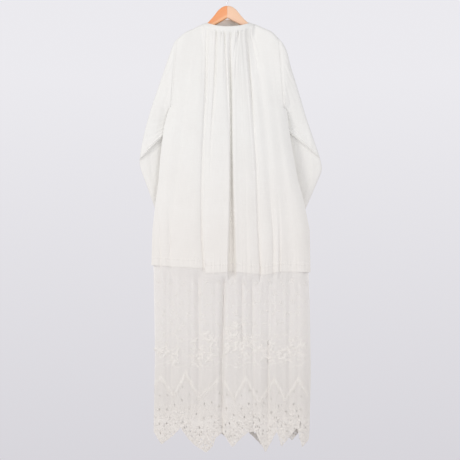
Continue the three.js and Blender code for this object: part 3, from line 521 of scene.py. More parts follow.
# A panel's outer and inner points, and where each lies on the flat cloth
def panelGrid(panel):
    facing = panel["facing"]
    spans, shares, coarse = panelColumns(panel)
    top, onBand, lead = panelTop(panel, spans, shares)

    def lineX(index, z):
        left, right = linenEdges(z)
        every = [left] + [readTable(levels, line, z, 45) for line, _ in panel["lines"]] + [right]
        return np.take_along_axis(np.stack(every), np.broadcast_to(index, z.shape)[None], 0)[0]

    atHem = np.full(len(spans), hemLevel)
    hemX = mix(lineX(spans, atHem), lineX(spans + 1, atHem), shares)
    hemZ = readRows(linenHem, hemX)
    near = panelDetail["nearNeck"] * np.linspace(0, 1, panelDetail["neckRows"])[:-1, None] ** 1.6
    steps = np.linspace(0, 1, panelDetail["bodyRows"])[:, None]
    hemTop = hemZ + cloth["hemHeight"]
    body = mix(top[:, 2] - panelDetail["nearNeck"], hemTop, steps)
    z = np.concatenate([top[:, 2] - near, body, hemTop - np.array(hemRows)[:, None]])
    drop = top[:, 2] - z
    low = mix(lineX(spans, z), lineX(spans + 1, z), shares)
    atSide = np.zeros(z.shape, bool)
    atSide[:, [0, -1]] = True
    x = np.where(atSide, low, mix(top[:, 0], low, smooth(drop / panelDetail["topReach"])))
    rounded = np.sqrt(1 - (1 - clamp01(drop / panel["shoulder"])) ** 2)
    start = np.maximum(facing * top[:, 1], cloth["seamGap"])
    hang = hangDepth(panel, x, z)
    depth = np.where(atSide, hang, mix(start, hang, rounded) + gatherDepth(panel, coarse, drop))
    grid = np.stack([x, facing * depth, z], -1)
    led = mix(grid, top + lead * drop[..., None], (1 - smooth(drop / gathers["lead"]))[..., None])
    grid = np.where((onBand & (drop < gathers["lead"]))[..., None], led, grid)
    grid[..., 1] = facing * np.maximum(facing * grid[..., 1], cloth["seamGap"])
    outer = grid.copy()
    outer[..., 1] += facing * hemTurn(z - hemZ)
    flat = np.stack([np.broadcast_to(hemX, z.shape), z], -1)
    return outer, insideOf(grid, facing, cloth["linenWall"]), flat


# Materials. Cloth patterns read the piece's own UV map, laid out flat in metres.
def nodeAdder(tree):
    def add(kind, inputs=None, out=0, **settings):  # links or sets the inputs, and returns one output
        node = tree.nodes.new(kind)
        for key, value in settings.items():
            setattr(node, key, value)
        for key, value in (inputs or {}).items():
            for source in value if isinstance(value, list) else [value]:
                if isinstance(source, bpy.types.NodeSocket):
                    tree.links.new(source, node.inputs[key])
                else:
                    node.inputs[key].default_value = source
        return node.outputs[out] if len(node.outputs) else None

    return add


def startNodes(owner):
    owner.use_nodes = True
    owner.node_tree.nodes.clear()
    return nodeAdder(owner.node_tree)


def ramp(add, factor, *stops):
    colour = add("ShaderNodeValToRGB", {"Fac": factor})
    elements = colour.node.color_ramp.elements
    while len(elements) < len(stops):
        elements.new(0.5)
    for element, (place, shade) in zip(elements, stops):
        element.position, element.color = place, (*shade, 1)
    return colour


def ranged(add, value, start, end, low=0.0, high=1.0):
    return add("ShaderNodeMapRange", {"Value": value, "From Min": start, "From Max": end, "To Min": low,
                                      "To Max": high})


def mapped(add, where, **changes):
    return add("ShaderNodeMapping", {"Vector": where, **changes})


def noise(add, where, scale=1.0, detail=2.0, **more):
    return add("ShaderNodeTexNoise", {"Vector": where, "Scale": scale, "Detail": detail, **more})


def wave(add, where, direction, scale, distortion, detail=1.0, detailScale=0.6):
    return add("ShaderNodeTexWave", {"Vector": where, "Scale": scale, "Distortion": distortion,
                                     "Detail": detail, "Detail Scale": detailScale},
               "Fac", bands_direction=direction)


def threads(add, where, direction, spacing, wobble):  # one band for each thread
    return wave(add, where, direction, 0.314159 / spacing, wobble)


def calc(add, operation, *values):
    return add("ShaderNodeMath", dict(enumerate(values)), operation=operation)


def bump(add, height, strength, distance, **under):
    return add("ShaderNodeBump", {"Height": height, "Strength": strength, "Distance": distance, **under})


def tinted(add, operation, colour, amount, none, full):
    tint = ramp(add, amount, (0.0, none), (1.0, full))
    return add("ShaderNodeVectorMath", {0: colour, 1: tint}, operation=operation)


def axisOf(add, vector, letter):
    return add("ShaderNodeSeparateXYZ", {"Vector": vector}, letter)


noTint, noLift = (1, 1, 1), (0, 0, 0)
looks = {
    "linen": {"light": (0.868, 0.862, 0.826), "dark": (0.846, 0.836, 0.80), "bright": (0.89, 0.885, 0.855),
              "low": (0.98, 0.952, 0.936), "weave": 0.0011, "slub": 0.15, "weaveDepth": 0.00007,
              "crinkleDepth": 0.0006},
    "laceNet": {"light": (0.91, 0.882, 0.845), "dark": (0.875, 0.845, 0.805), "low": (0.93, 0.92, 0.905),
                "mesh": 0.0032, "thread": 0.26},
    "laceThread": {"light": (0.94, 0.91, 0.865), "dark": (0.87, 0.835, 0.785), "low": (0.94, 0.93, 0.925),
                   "twist": 0.0009},
    "sewingThread": {"light": (0.83, 0.82, 0.79), "dark": (0.74, 0.72, 0.69), "low": (0.94, 0.93, 0.925),
                     "twist": 0.0006},
    "woodLeft": {"light": (0.95, 0.40, 0.17), "dark": (0.89, 0.33, 0.125), "rim": (0.04, 0.12, 0.09),
                 "seed": 1},
    "woodRight": {"light": (0.95, 0.65, 0.45), "dark": (0.91, 0.56, 0.355), "rim": (0.02, 0.0, 0.01),
                  "seed": -1},
    "steelWire": {"light": (0.72, 0.72, 0.74), "dark": (0.62, 0.62, 0.64)},
    "floorPaint": {"light": (0.78, 0.77, 0.78), "dark": (0.74, 0.73, 0.74)},
}


def linenNodes(add, look):
    where = add("ShaderNodeUVMap", uv_map="cloth")
    woven = calc(add, "MAXIMUM", *[threads(add, where, way, look["weave"], 0.6) for way in "XY"])
    alongThreads = [(700, 22, 1), (26, 640, 1)]
    slubs = calc(add, "ADD", *[noise(add, mapped(add, where, Scale=scale)) for scale in alongThreads])
    shade = ranged(add, calc(add, "ADD", slubs, noise(add, where, 9.0, 3.0)), 1.05, 1.95)
    clean = ramp(add, shade, (0.0, look["dark"]), (0.5, look["light"]), (1.0, look["bright"]))
    lower = ranged(add, axisOf(add, add("ShaderNodeTexCoord", out="Object"), "Z"), -0.5, -0.95)
    # Crumples of washed linen: short, mostly upright creases
    crumple = noise(add, mapped(add, where, Scale=(34, 11, 1)), 1.0, 4.0, Roughness=0.55, Distortion=0.4)
    crumpled = bump(add, crumple, 0.5, look["crinkleDepth"])
    threadHeight = calc(add, "MULTIPLY_ADD", slubs, look["slub"], woven)
    return {"Base Color": tinted(add, "MULTIPLY", clean, lower, noTint, look["low"]),
            "Roughness": ranged(add, slubs, 0.7, 1.3, 0.82, 0.96),
            "Normal": bump(add, threadHeight, 0.5, look["weaveDepth"], Normal=crumpled),
            "Sheen Weight": 0.12, "Sheen Roughness": 0.5, "Specular IOR Level": 0.25}


def laceNodes(add, look):
    where = add("ShaderNodeUVMap", uv_map="cloth")
    turned = mapped(add, where, Rotation=(0, 0, math.radians(45)))
    height = calc(add, "MAXIMUM", *[threads(add, turned, way, look["mesh"], 0.5) for way in "XY"])
    down = axisOf(add, where, "Y")
    denser = ranged(add, down, -1.36, -1.44, 0.0, 0.2)
    overNet = calc(add, "SUBTRACT", height, calc(add, "SUBTRACT", look["thread"], denser))
    clean = ramp(add, noise(add, where, 220.0), (0.3, look["dark"]), (0.65, look["light"]))
    lower = ranged(add, down, -1.1, -1.42)
    return {"Base Color": tinted(add, "MULTIPLY", clean, lower, noTint, look["low"]), "Roughness": 0.9,
            "Alpha": ranged(add, overNet, -0.04, 0.04), "Normal": bump(add, height, 0.6, 0.0003),
            "Sheen Weight": 0.1, "Specular IOR Level": 0.2}


def threadNodes(add, look):
    where = add("ShaderNodeTexCoord", out="Object")
    twist = threads(add, mapped(add, where, Rotation=(0, math.radians(35), 0)), "X", look["twist"], 2.0)
    clean = ramp(add, noise(add, where, 160.0), (0.3, look["dark"]), (0.7, look["light"]))
    worn = ranged(add, axisOf(add, where, "Z"), -1.3, -1.5)
    return {"Base Color": tinted(add, "MULTIPLY", clean, worn, noTint, look["low"]), "Roughness": 0.72,
            "Normal": bump(add, twist, 0.5, 0.00025), "Sheen Weight": 0.15, "Specular IOR Level": 0.35}


def woodNodes(add, look):
    where = add("ShaderNodeTexCoord", out="Object")
    alongArm = mapped(add, where, Rotation=(0, math.radians(look["seed"] * 33), 0))
    grainWay = mapped(add, alongArm, Scale=(4, 16, 20), Location=(look["seed"], 0.4, 0))
    rings = wave(add, grainWay, "Z", 3.6, 3.2, 3.0, 1.2)
    pores = noise(add, mapped(add, alongArm, Scale=(40, 700, 900)), 1.0, 3.0)
    grain = calc(add, "MULTIPLY_ADD", pores, 0.55, rings)
    face = ramp(add, grain, (0.25, look["dark"]), (1.1, look["light"]))
    aboveEdge = add("ShaderNodeAttribute", out="Fac", attribute_name="aboveEdge")
    onRim = ranged(add, aboveEdge, 0.0135, 0.0105)
    return {"Base Color": tinted(add, "ADD", face, onRim, noLift, look["rim"]),
            "Roughness": ranged(add, pores, 0.3, 0.7, 0.3, 0.46), "Normal": bump(add, grain, 0.25, 0.0002),
            "Coat Weight": 0.25, "Coat Roughness": 0.25, "Specular IOR Level": 0.35}


def steelNodes(add, look):
    scratches = noise(add, mapped(add, add("ShaderNodeTexCoord", out="Object"), Scale=(900, 900, 60)))
    return {"Base Color": ramp(add, scratches, (0.3, look["dark"]), (0.7, look["light"])), "Metallic": 1.0,
            "Roughness": ranged(add, scratches, 0.0, 1.0, 0.36, 0.44),
            "Normal": bump(add, scratches, 0.06, 0.00005)}


def floorNodes(add, look):
    cloud = noise(add, add("ShaderNodeTexCoord", out="Object"), 6.0)
    return {"Base Color": ramp(add, cloud, (0.3, look["dark"]), (0.7, look["light"])), "Roughness": 0.9}


def newMaterial(name, buildNodes):
    material = bpy.data.materials.new(name)
    add = startNodes(material)
    shader = add("ShaderNodeBsdfPrincipled", buildNodes(add, looks[name]))
    add("ShaderNodeOutputMaterial", {"Surface": shader})
    return material


linen = newMaterial("linen", linenNodes)
lace = newMaterial("laceNet", laceNodes)
laceThread, sewingThread = [newMaterial(name, threadNodes) for name in ("laceThread", "sewingThread")]
steel = newMaterial("steelWire", steelNodes)
print("materials ready")

pieces, trim = {}, {}  # the cloth pieces by name, and what is sewn on each
for name, node, panel in [("linenFront", "front_panel", frontPanel), ("linenBack", "back_panel", backPanel)]:
    pieces[name] = shell(name, node, *panelGrid(panel), linen, "linen")
print("linen panels ready")


# Neck band: a flat ring with rounded edges, puckered a little by the gathers
def bandGrid():
    angles, shares = circle(band["around"]), np.linspace(0, 1, band["rows"])
    angle, share = np.meshgrid(angles, shares)
    out = bandFrame(angle)[1]
    edge = np.abs(2 * share - 1) ** 7 * 0.9
    pucker = ripple(angle * band["radius"], [(0.22, 7.3, 0.3), (0.18, 11.1, 1.2)]) * share ** 2
    walls = [bandPoint(angle, share) - out * inset[..., None]
             for inset in (edge - pucker, band["wall"] - edge)]
    turns = np.append(angles, 2 * math.pi) * band["radius"]
    return *walls, np.stack(np.meshgrid(turns, -shares * band["tall"]), -1)


pieces["neckBand"] = shell("neckBand", "neck_band", *bandGrid(), linen, "linen", loop=True)

# Sleeves, flat tubes: the outer and inner point of each section in X and Z, its depth and half-thickness
sleeveTables = {
    "left": [
        (-176, -190, -187.2, -400.4, 0, 12.2), (-189, -226, -187, -402.5, 1.5, 12.6),
        (-202, -261, -187.8, -405, 3.5, 12.8), (-222, -320, -191, -406.5, 7, 12.5),
        (-241, -372, -190, -411, 12, 12), (-256, -418, -187, -422, 17.5, 12),
        (-270, -464, -183, -436, 22.5, 11.5), (-281, -510, -182, -446, 23.5, 11),
        (-288.6, -556, -178.6, -454, 22.5, 11.5), (-290.2, -570, -177.4, -460, 22, 12),
        (-290.6, -574, -177, -464, 29, 10.2), (-291.4, -584, -174, -474, 32, 10),
        (-287, -606, -170, -510, 34, 10.5), (-273.9, -640, -166, -595, 35, 11),
        (-250.5, -706, -146, -667, 36, 11), (-225, -776, -121, -738, 37, 11.5),
    ],
    "right": [
        (179, -184.5, 189.2, -402.4, 0, 12.2), (197, -214, 189, -404.5, 1.5, 12.6),
        (207, -262, 189.8, -407, 3.5, 12.8), (225, -315, 193, -408.5, 7, 12.5),
        (243, -374, 191.5, -413, 12, 12), (259, -428, 188, -423, 17.5, 12),
        (275, -473, 183, -436, 22.5, 11.5), (290, -516, 182, -446, 23.5, 11),
        (302.6, -552, 179.4, -455, 22.5, 11.5), (306.4, -564, 177.8, -462, 22, 12),
        (307.6, -568, 177.2, -466, 29, 10.2), (311, -580, 175, -474, 32, 10),
        (315.8, -607, 172, -520, 34, 10.5), (301.3, -640, 178, -592, 35, 11),
        (270, -713, 158, -668, 36, 11), (241, -780, 136, -740, 37, 11.5),
    ],
}
sleeveDetail = {"around": 120, "perSection": 8, "soft": 0.4, "elbow": 9.5, "elbowReach": 2.2,
                "cuffExtra": 0.8, "cuffRows": 0.4, "radius": 70, "sectionLength": 45}


def sleeveGrid(side, thin):
    hole = armholes[side]
    mouth = (*hole.values(), 0, armholeHalfOpen - cloth["seamDip"])
    table = np.array([mouth] + sleeveTables[side], float)
    last = len(table) - 1
    along = np.linspace(0, last, last * sleeveDetail["perSection"] + 1)[:, None]
    outX, outZ, inX, inZ, depth, half = [readTable(range(last + 1), column, along, sleeveDetail["soft"])
                                         for column in table.T]
    angle = circle(sleeveDetail["around"])[None]
    midX, midZ = (outX + inX) / 2, (outZ + inZ) / 2
    wide = np.hypot(outX - midX, outZ - midZ)

    def rounded(value):
        return np.sign(value) * np.abs(value) ** (2 / 3)

    across = (wide - thin) * rounded(np.cos(angle))
    x, z = midX + (outX - midX) / wide * across, midZ + (outZ - midZ) / wide * across
    creases = ripple(along * 2.6 + 1.3 * np.cos(angle), [(0.9, 1.7, 0.4), (0.5, 1.1, 1.3)])
    creases = creases * np.exp(-((along - sleeveDetail["elbow"]) / sleeveDetail["elbowReach"]) ** 2)
    long = ripple(across, [(0.5, 41, 0.5), (0.35, 23, 1.4)]) * smooth(along / 2)
    uneven = (creases + long) * np.abs(np.sin(angle))
    cuff = sleeveDetail["cuffExtra"] * smooth((along - last + sleeveDetail["cuffRows"]) / 0.05) * (thin == 0)
    y = depth + (half - thin + uneven + cuff) * rounded(np.sin(angle))
    turns = np.append(angle, 2 * math.pi) * sleeveDetail["radius"]
    return np.stack([x, y, z], -1), np.stack(np.meshgrid(turns, -along * sleeveDetail["sectionLength"]), -1)


for side in bothSides:
    outer, flat = sleeveGrid(side, 0)
    inner, _ = sleeveGrid(side, cloth["linenWall"])
    name = "sleeve" + side.capitalize()
    pieces[name] = shell(name, f"sleeve_{side}", outer, inner, flat, linen, "linen", loop=True)
print("band and sleeves ready")

# Lace skirt: folds, side edges and pointed border of its front and back
laceLevels = [-930, -1000, -1100, -1200, -1330, -1440]
laceSides = {
    "left": [(-894, -243.5), (-960, -243), (-1200, -238.5), (-1480, -243)],
    "right": [(-894, 267.5), (-960, 268), (-1040, 272.5), (-1280, 276), (-1480, 271)],
}
laceFrontBorder = [
    (-243, -1470), (-217, -1510), (-179, -1482), (-154, -1455), (-127, -1492), (-105, -1513), (-69, -1536),
    (-47, -1515), (-38, -1488), (-16, -1470), (17, -1519), (42, -1492), (68, -1469), (92, -1467),
    (126, -1536), (163, -1466), (179, -1517), (230, -1455), (247, -1520), (268, -1497), (271, -1475),
]
laceBackBorder = [
    (-243, -1470), (-205, -1498), (-160, -1450), (-105, -1508), (-50, -1456), (10, -1500), (55, -1458),
    (118, -1520), (165, -1456), (215, -1500), (245, -1462), (271, -1475),
]
laceFrontFolds = [
    ([-96, -96, -95, -95, -96, -98], [5, 8, 8, 6, 4, 2], 12),
    ([-10, -12, -14, -17, -18, -16], [8, 12, 13, 12, 11, 9], 10),
    ([48, 48, 48, 49, 50, 52], [4, 7, 7, 4, 1, 0], 7),
    ([82, 82, 82, 82, 84, 86], [5, 8, 8, 5, 4, 3], 9),
    ([140, 138, 136, 134, 133, 134], [2, 3, 4, 7, 8, 5], 11),
    ([-180, -182, -184, -186, -188, -190], [3, 3, 2, 3, 4, 3], 18),
    ([210, 208, 206, 204, 204, 206], [3, 3, 3, 3, 4, 3], 17),
]
laceBackFolds = [
    ([-150, -152, -154, -156, -158, -160], [3, 4, 5, 5, 4, 3], 16),
    ([-60, -58, -56, -56, -58, -60], [5, 6, 6, 5, 5, 5], 14),
    ([20, 22, 24, 26, 26, 24], [6, 7, 7, 7, 6, 5], 12),
    ([110, 108, 108, 110, 112, 114], [5, 5, 6, 6, 5, 4], 15),
    ([190, 188, 186, 186, 188, 190], [3, 3, 3, 3, 3, 3], 17),
]
# Flower clusters: middle, half width and height, and how many flowers
frontClusters = [
    (-182, -1208, 26, 36, 8), (-228, -1196, 12, 22, 3), (-98, -1206, 20, 44, 8), (-60, -1186, 22, 50, 10),
    (-8, -1176, 20, 50, 9), (26, -1170, 26, 58, 13), (66, -1190, 22, 44, 9), (112, -1206, 16, 30, 5),
    (141, -1204, 18, 34, 6), (190, -1212, 20, 26, 6), (222, -1192, 20, 34, 6), (256, -1200, 12, 24, 3),
]
backClusters = [
    (-210, -1196, 24, 32, 6), (-160, -1210, 24, 34, 7), (-96, -1190, 28, 46, 10), (-40, -1204, 22, 36, 8),
    (14, -1184, 28, 48, 11), (70, -1206, 22, 34, 7), (120, -1188, 28, 46, 10), (182, -1206, 24, 34, 7),
    (238, -1194, 22, 32, 6),
]
# Zigzag line above the border: its points from left to right
frontZigzag = [(-240, -1318), (-219, -1287), (-176.6, -1350), (-136, -1277), (-91.4, -1353), (-17.5, -1289),
               (23.8, -1360.6), (61.7, -1289), (104.6, -1372.8), (157, -1296), (191.7, -1362.9), (234, -1296),
               (269, -1352)]
backZigzag = [(-240, -1340), (-206, -1290), (-164, -1358), (-122, -1288), (-80, -1360), (-38, -1290),
              (4, -1356), (46, -1286), (88, -1360), (130, -1292), (172, -1358), (214, -1290), (268, -1356)]
laceFront = {"facing": -1, "side": 9, "rise": 30, "centre": [22, 20, 19, 19, 20, 21], "folds": laceFrontFolds,
             "border": laceFrontBorder, "panel": frontPanel, "columns": 42, "turn": 0.9,
             "clusters": frontClusters, "zigzag": frontZigzag}
laceBack = {"facing": 1, "side": 8, "rise": 30, "centre": [19, 18, 18, 18, 19, 20], "folds": laceBackFolds,
            "border": laceBackBorder, "panel": backPanel, "columns": 36, "turn": 2.6,
            "clusters": backClusters, "zigzag": backZigzag}
laceHalves = {"laceFront": laceFront, "laceBack": laceBack}
laceDetail = {"fine": 4, "upperRows": 84, "lowerFrom": 0.64, "lowerRows": 36, "gapRows": (8, 16, 24),
              "gapSizes": (0.3, 0.42, 0.56), "gapCorner": 0.7, "strewnFrom": 24, "strewnShare": 0.6,
              "blend": 40, "hemLevel": -935, "borderLevel": -1470, "topAbove": 25.5, "scallop": 8.5,
              "scallopDeep": 1.6}


def laceEdges(z):
    return [readRows(laceSides[side], z, 40) for side in bothSides]


# A place on the flat lace: across from 0 to 1, and down from the linen's hem at 0 to the border at 1
def laceFlat(lacePanel, across, down):
    hemZ = readRows(linenHem, mix(*laceEdges(laceDetail["hemLevel"]), across))
    borderX = mix(*laceEdges(laceDetail["borderLevel"]), across)
    scallops = np.abs(np.sin(borderX / laceDetail["scallop"] * math.pi / 2))
    z = mix(hemZ, readRows(lacePanel["border"], borderX) - laceDetail["scallopDeep"] * scallops, down)
    return mix(*laceEdges(z), across), z


def laceDepth(lacePanel, x, z):
    least = cloth["seamGap"] + cloth["laceWall"]
    crown, fromEdge = arch(lacePanel, laceLevels, 30, laceEdges(z), x, z)
    own = crown - foldDepth(lacePanel["folds"], laceLevels, x, z)
    own = own + ripple(x, [(0.5, 27, lacePanel["turn"]), (0.35, 16, 2 * lacePanel["turn"])])
    hemZ = readRows(linenHem, x)
    sewn = hangDepth(lacePanel["panel"], x, np.maximum(z, hemZ)) - cloth["linenWall"] - cloth["laceClear"]
    depth = mix(sewn, own, smooth((hemZ - z) / laceDetail["blend"]))
    return np.maximum(mix(depth, least, (1 - fromEdge) ** 2), least)


# The border's cut gaps: upright ovals in every second column, and smaller ones strewn between them
def laceGaps(lacePanel, rows, columns, firstRow):
    fine, firstStrewn = laceDetail["fine"], laceDetail["strewnFrom"]
    column, row = np.meshgrid(np.arange(columns), np.arange(rows) - firstRow)
    block, place = column // fine, column % fine
    inside = (block > 0) & (block < lacePanel["columns"] - 1)
    ovalRows = [first + step for first in laceDetail["gapRows"] for step in (1, 2)]
    ovals = (block % 2 == 1) & (place >= 1) & (place <= 2) & np.isin(row, ovalRows) & inside
    strewn = (row >= firstStrewn) & (row < rows - firstRow - 1) & (row % 2 == 0)
    strewn &= (place == 1 + row // 2 % 2 * 2) & ((block % 2 == 0) | (row > firstStrewn + 3)) & inside
    return ovals, ovals | (strewn & (rng.random(column.shape) < laceDetail["strewnShare"]))


# Draws the rim of each oval gap inwards, its corners more, so that the gap is small and rounded
def roundGaps(flat, ovals, firstRow):
    rounded, drawn = flat.copy(), np.ones((3, 3, 1))
    drawn[::2, ::2] = laceDetail["gapCorner"]
    firstCells = ovals[:-1, :-1] & ovals[1:, 1:] & ovals[1:, :-1] & ovals[:-1, 1:]
    for r, c in zip(*np.nonzero(firstCells)):
        size = np.interp(r - firstRow, laceDetail["gapRows"], laceDetail["gapSizes"])
        rounded[r:r + 3, c:c + 3] = mix(flat[r + 1, c + 1], flat[r:r + 3, c:c + 3], size * drawn)
    return rounded


def laceGrid(lacePanel):
    facing, columns = lacePanel["facing"], lacePanel["columns"] * laceDetail["fine"]
    overHem = [-1, -0.8, -0.6, -0.4, -0.2]
    upper = np.linspace(0, laceDetail["lowerFrom"], laceDetail["upperRows"], endpoint=False)
    lower = np.linspace(laceDetail["lowerFrom"], 1, laceDetail["lowerRows"] + 1)
    down, firstRow = np.concatenate([overHem, upper, lower]), len(overHem) + len(upper)
    ovals, gaps = laceGaps(lacePanel, len(down) - 1, columns, firstRow)
    x, z = laceFlat(lacePanel, *np.meshgrid(np.linspace(0, 1, columns + 1), np.maximum(down, 0)))
    z = z + laceDetail["topAbove"] * np.maximum(-down, 0)[:, None]
    flat = roundGaps(np.stack([x, z], -1), ovals, firstRow)
    x, z = np.moveaxis(flat, -1, 0)
    outer = np.stack([x, facing * laceDepth(lacePanel, x, z), z], -1)
    return outer, insideOf(outer, facing, cloth["laceWall"]), flat, gaps


for (name, lacePanel), node in zip(laceHalves.items(), ("lace_front", "lace_back")):
    outer, inner, flat, gaps = laceGrid(lacePanel)
    pieces[name] = shell(name, node, outer, inner, flat, lace, "lace", openCells=gaps)


# What is sewn on: small closed shapes laid out flat, and then set on the hung cloth. Each part of a shape
# has an outline, how far its shoulder is drawn in, and the heights of its shoulder and top.
def relief(*parts):
    points, faces = [], []
    for outline, drawnIn, shoulder, top in parts:
        start, count = len(points), len(outline)
        heights = np.broadcast_to(shoulder, count)
        points += [(x, 0.08, z) for x, z in outline]
        points += [(x, -high, z) for (x, z), high in zip(np.multiply(outline, drawnIn), heights)]
        points.append((0, -top, 0))
        for i in range(count):
            a, b = start + i, start + (i + 1) % count
            faces += [(a, b, b + count, a + count), (a + count, b + count, start + 2 * count)]
        faces.append(tuple(range(start + count - 1, start - 1, -1)))
    return points, faces


def polar(radius, turns):
    return np.stack([radius * np.cos(turns), radius * np.sin(turns)], -1)


def petals(count, steps, waist):
    turns = circle(count * steps)
    bulge = np.abs(np.cos(count * turns / 2)) ** 0.7
    return polar(mix(waist, 1, bulge), turns), 0.8, 0.05 + 0.14 * bulge, 0.1


def dome(radius, high):
    return polar(radius, circle(6)), 0.7, high * 0.75, high


def leafPart(wide):
    outline = polar(1, circle(10))
    outline[:, 1] *= wide * (0.55 + 0.45 * np.abs(outline[:, 1]))
    return outline, (0.8, 0.62), 0.13, 0.2


def eyelet(count):
    points = [(radius * math.cos(t), -high, radius * math.sin(t)) for t in circle(count)
              for radius, high in ((1.0, -0.05), (0.86, 0.2), (0.7, -0.05))]
    faces = [(3 * i + a, 3 * n + a, 3 * n + b, 3 * i + b) for i in range(count) for n in [(i + 1) % count]
             for a, b in ((0, 1), (1, 2), (2, 0))]
    return points, faces


stitchOutline = [(-1, -0.16), (-0.8, -0.24), (0.8, -0.24), (1, -0.16), (1, 0.16), (0.8, 0.24), (-0.8, 0.24),
                 (-1, 0.16)]
motifShapes = {
    "flower": relief(petals(5, 6, 0.5), dome(0.24, 0.3)), "leaf": relief(leafPart(0.42)),
    "dot": relief(dome(1.0, 0.7)), "ring": eyelet(12),
    "stitch": relief((stitchOutline, (0.9, 0.6), 0.16, 0.24)),
}
motifs = {}
for kind, (points, faces) in motifShapes.items():
    mesh = plainMesh(kind + "Shape", points, [], faces)
    mesh.shade_smooth()
    motifs[kind] = addObject(kind + "Shape", mesh)


def newTree(name, sockets, build):
    tree = bpy.data.node_groups.new(name, "GeometryNodeTree")
    for way, label, kind in [("OUTPUT", "Geometry", "Geometry"), ("INPUT", "Geometry", "Geometry"),
                             *[("INPUT", *socket) for socket in sockets], ("INPUT", "Thread", "Material")]:
        tree.interface.new_socket(label, in_out=way, socket_type="NodeSocket" + kind)
    add, given = nodeAdder(tree), tree.nodes.new("NodeGroupInput").outputs
    real = add("GeometryNodeRealizeInstances", {"Geometry": build(add, given)})
    done = add("GeometryNodeSetMaterial", {"Geometry": real, "Material": given["Thread"]})
    add("NodeGroupOutput", {"Geometry": done})
    return tree


def motifNodes(add, given):
    def noted(name, kind):
        return add("GeometryNodeInputNamedAttribute", {"Name": name}, "Attribute", data_type=kind)

    kindOf = noted("kind", "INT")
    turn = add("ShaderNodeCombineXYZ", {"Y": noted("spin", "FLOAT")})
    scale = add("ShaderNodeVectorMath", {0: noted("size", "FLOAT_VECTOR"), "Scale": given["Size"]},
                operation="SCALE")
    placed = []
    for number, kind in enumerate(motifs):
        same = add("FunctionNodeCompare", {2: kindOf, 3: number}, data_type="INT", operation="EQUAL")
        shape = add("GeometryNodeObjectInfo", {"Object": given[kind]}, "Geometry")
        placed.append(add("GeometryNodeInstanceOnPoints", {"Points": given["Geometry"], "Selection": same,
                                                           "Instance": shape, "Rotation": turn,
                                                           "Scale": scale}))
    return add("GeometryNodeJoinGeometry", {0: placed})


def cordNodes(add, given):
    line = add("GeometryNodeMeshToCurve", {"Mesh": given["Geometry"]})
    profile = add("GeometryNodeCurvePrimitiveCircle", {"Resolution": 6, "Radius": given["Radius"]})
    return add("GeometryNodeCurveToMesh", {"Curve": line, "Profile Curve": profile, "Fill Caps": True})


sewnMotifs = newTree("sewnMotifs", [(kind, "Object") for kind in motifs] + [("Size", "Float")], motifNodes)
sewnCords = newTree("sewnCords", [("Radius", "Float")], cordNodes)


# Runs a tree on a flat layout, and sets every point of its mesh on the hung cloth
def sewOn(name, layout, tree, values, panel, clothDepth, slot, lift=0.1, flatten=1.0):
    holder = addObject(name, layout)
    modifier = holder.modifiers.new("sewn", "NODES")
    modifier.node_group = tree
    for item in tree.interface.items_tree:
        if item.in_out == "INPUT" and item.name in values:
            modifier[item.identifier] = values[item.name]
    evaluated = holder.evaluated_get(bpy.context.evaluated_depsgraph_get())
    mesh = bpy.data.meshes.new_from_object(evaluated)
    holder.modifiers.clear()
    holder.data, mesh.name = mesh, name
    points = np.zeros(len(mesh.vertices) * 3, np.float32)
    mesh.vertices.foreach_get("co", points)
    x, y, z = points.reshape(-1, 3).astype(float).T * 1000
    depth = clothDepth(panel, x, z) - y * flatten + lift
    placed = bowed(np.stack([x, panel["facing"] * depth, z], -1))
    mesh.vertices.foreach_set("co", (placed / 1000).astype(np.float32).ravel())
    if panel["facing"] > 0:
        mesh.flip_normals()
    mesh.update()
    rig.ride(holder, "root")
    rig.slot(holder, slot)
    return holder


def motifLayout(name, rows):  # rows of x, z, kind, size, spin, and how much taller than wide
    mesh = plainMesh(name, [(row[0] / 1000, 0, row[1] / 1000) for row in rows], [], [])
    sizes = [(row[3], row[3], row[3] * (row[5] if len(row) > 5 else 1)) for row in rows]
    for label, kind, field, values in [
            ("kind", "INT", "value", [list(motifs).index(row[2]) for row in rows]),
            ("spin", "FLOAT", "value", [math.radians(row[4]) for row in rows]),
            ("size", "FLOAT_VECTOR", "vector", np.array(sizes, np.float32).ravel())]:
        mesh.attributes.new(label, kind, "POINT").data.foreach_set(field, values)
    return mesh


def cordLayout(name, lines):
    points, edges = [], []
    for line in lines:
        start = len(points)
        points += [(x / 1000, 0, z / 1000) for x, z in zip(*line)]
        edges += [(i, i + 1) for i in range(start, len(points) - 1)]
    return plainMesh(name, points, edges, [])


motifSizes = {"flower": 8.0, "leaf": 7.0, "dot": 1.6, "sprigStepX": 40, "sprigStepZ": 34, "dotStep": 7.4,
              "cord": 1.2, "borderFlower": 6.4, "fromX": -238, "toX": 266, "steepest": 0.8}
borderLines = (0.838, 0.858, 0.878, 0.898, 0.918, 0.939, 0.959, 0.977)
vines = [(-1206, 16, 0.3), (-1160, 12, 1.7), (-1248, 9, 2.6)]  # height, wave and turn of each


def spot():
    return rng.random() * 2 - 1


def laceSpot(lacePanel, across, down):
    return [float(value) for value in laceFlat(lacePanel, np.array(across), np.array(down))]


def sprigRows():
    rows = []
    for step, z in enumerate(np.arange(-975, -1150, -motifSizes["sprigStepZ"])):
        for x in np.arange(-226 + step % 2 * 20, 262, motifSizes["sprigStepX"]):
            px, pz, lean = x + 5 * spot(), z + 5 * spot(), 25 * spot()
            rows += [(px, pz, "flower", 3.6 + 0.5 * spot(), 360 * rng.random()),
                     (px - 5.5, pz - 6, "leaf", 4.2, 50 + lean), (px + 5.5, pz - 6, "leaf", 4.2, 130 + lean),
                     (px, pz + 7, "dot", 1.2, 0), (px + 4, pz + 5.5, "dot", 1.0, 0),
                     (px - 4, pz + 5.5, "dot", 1.0, 0)]
    return rows


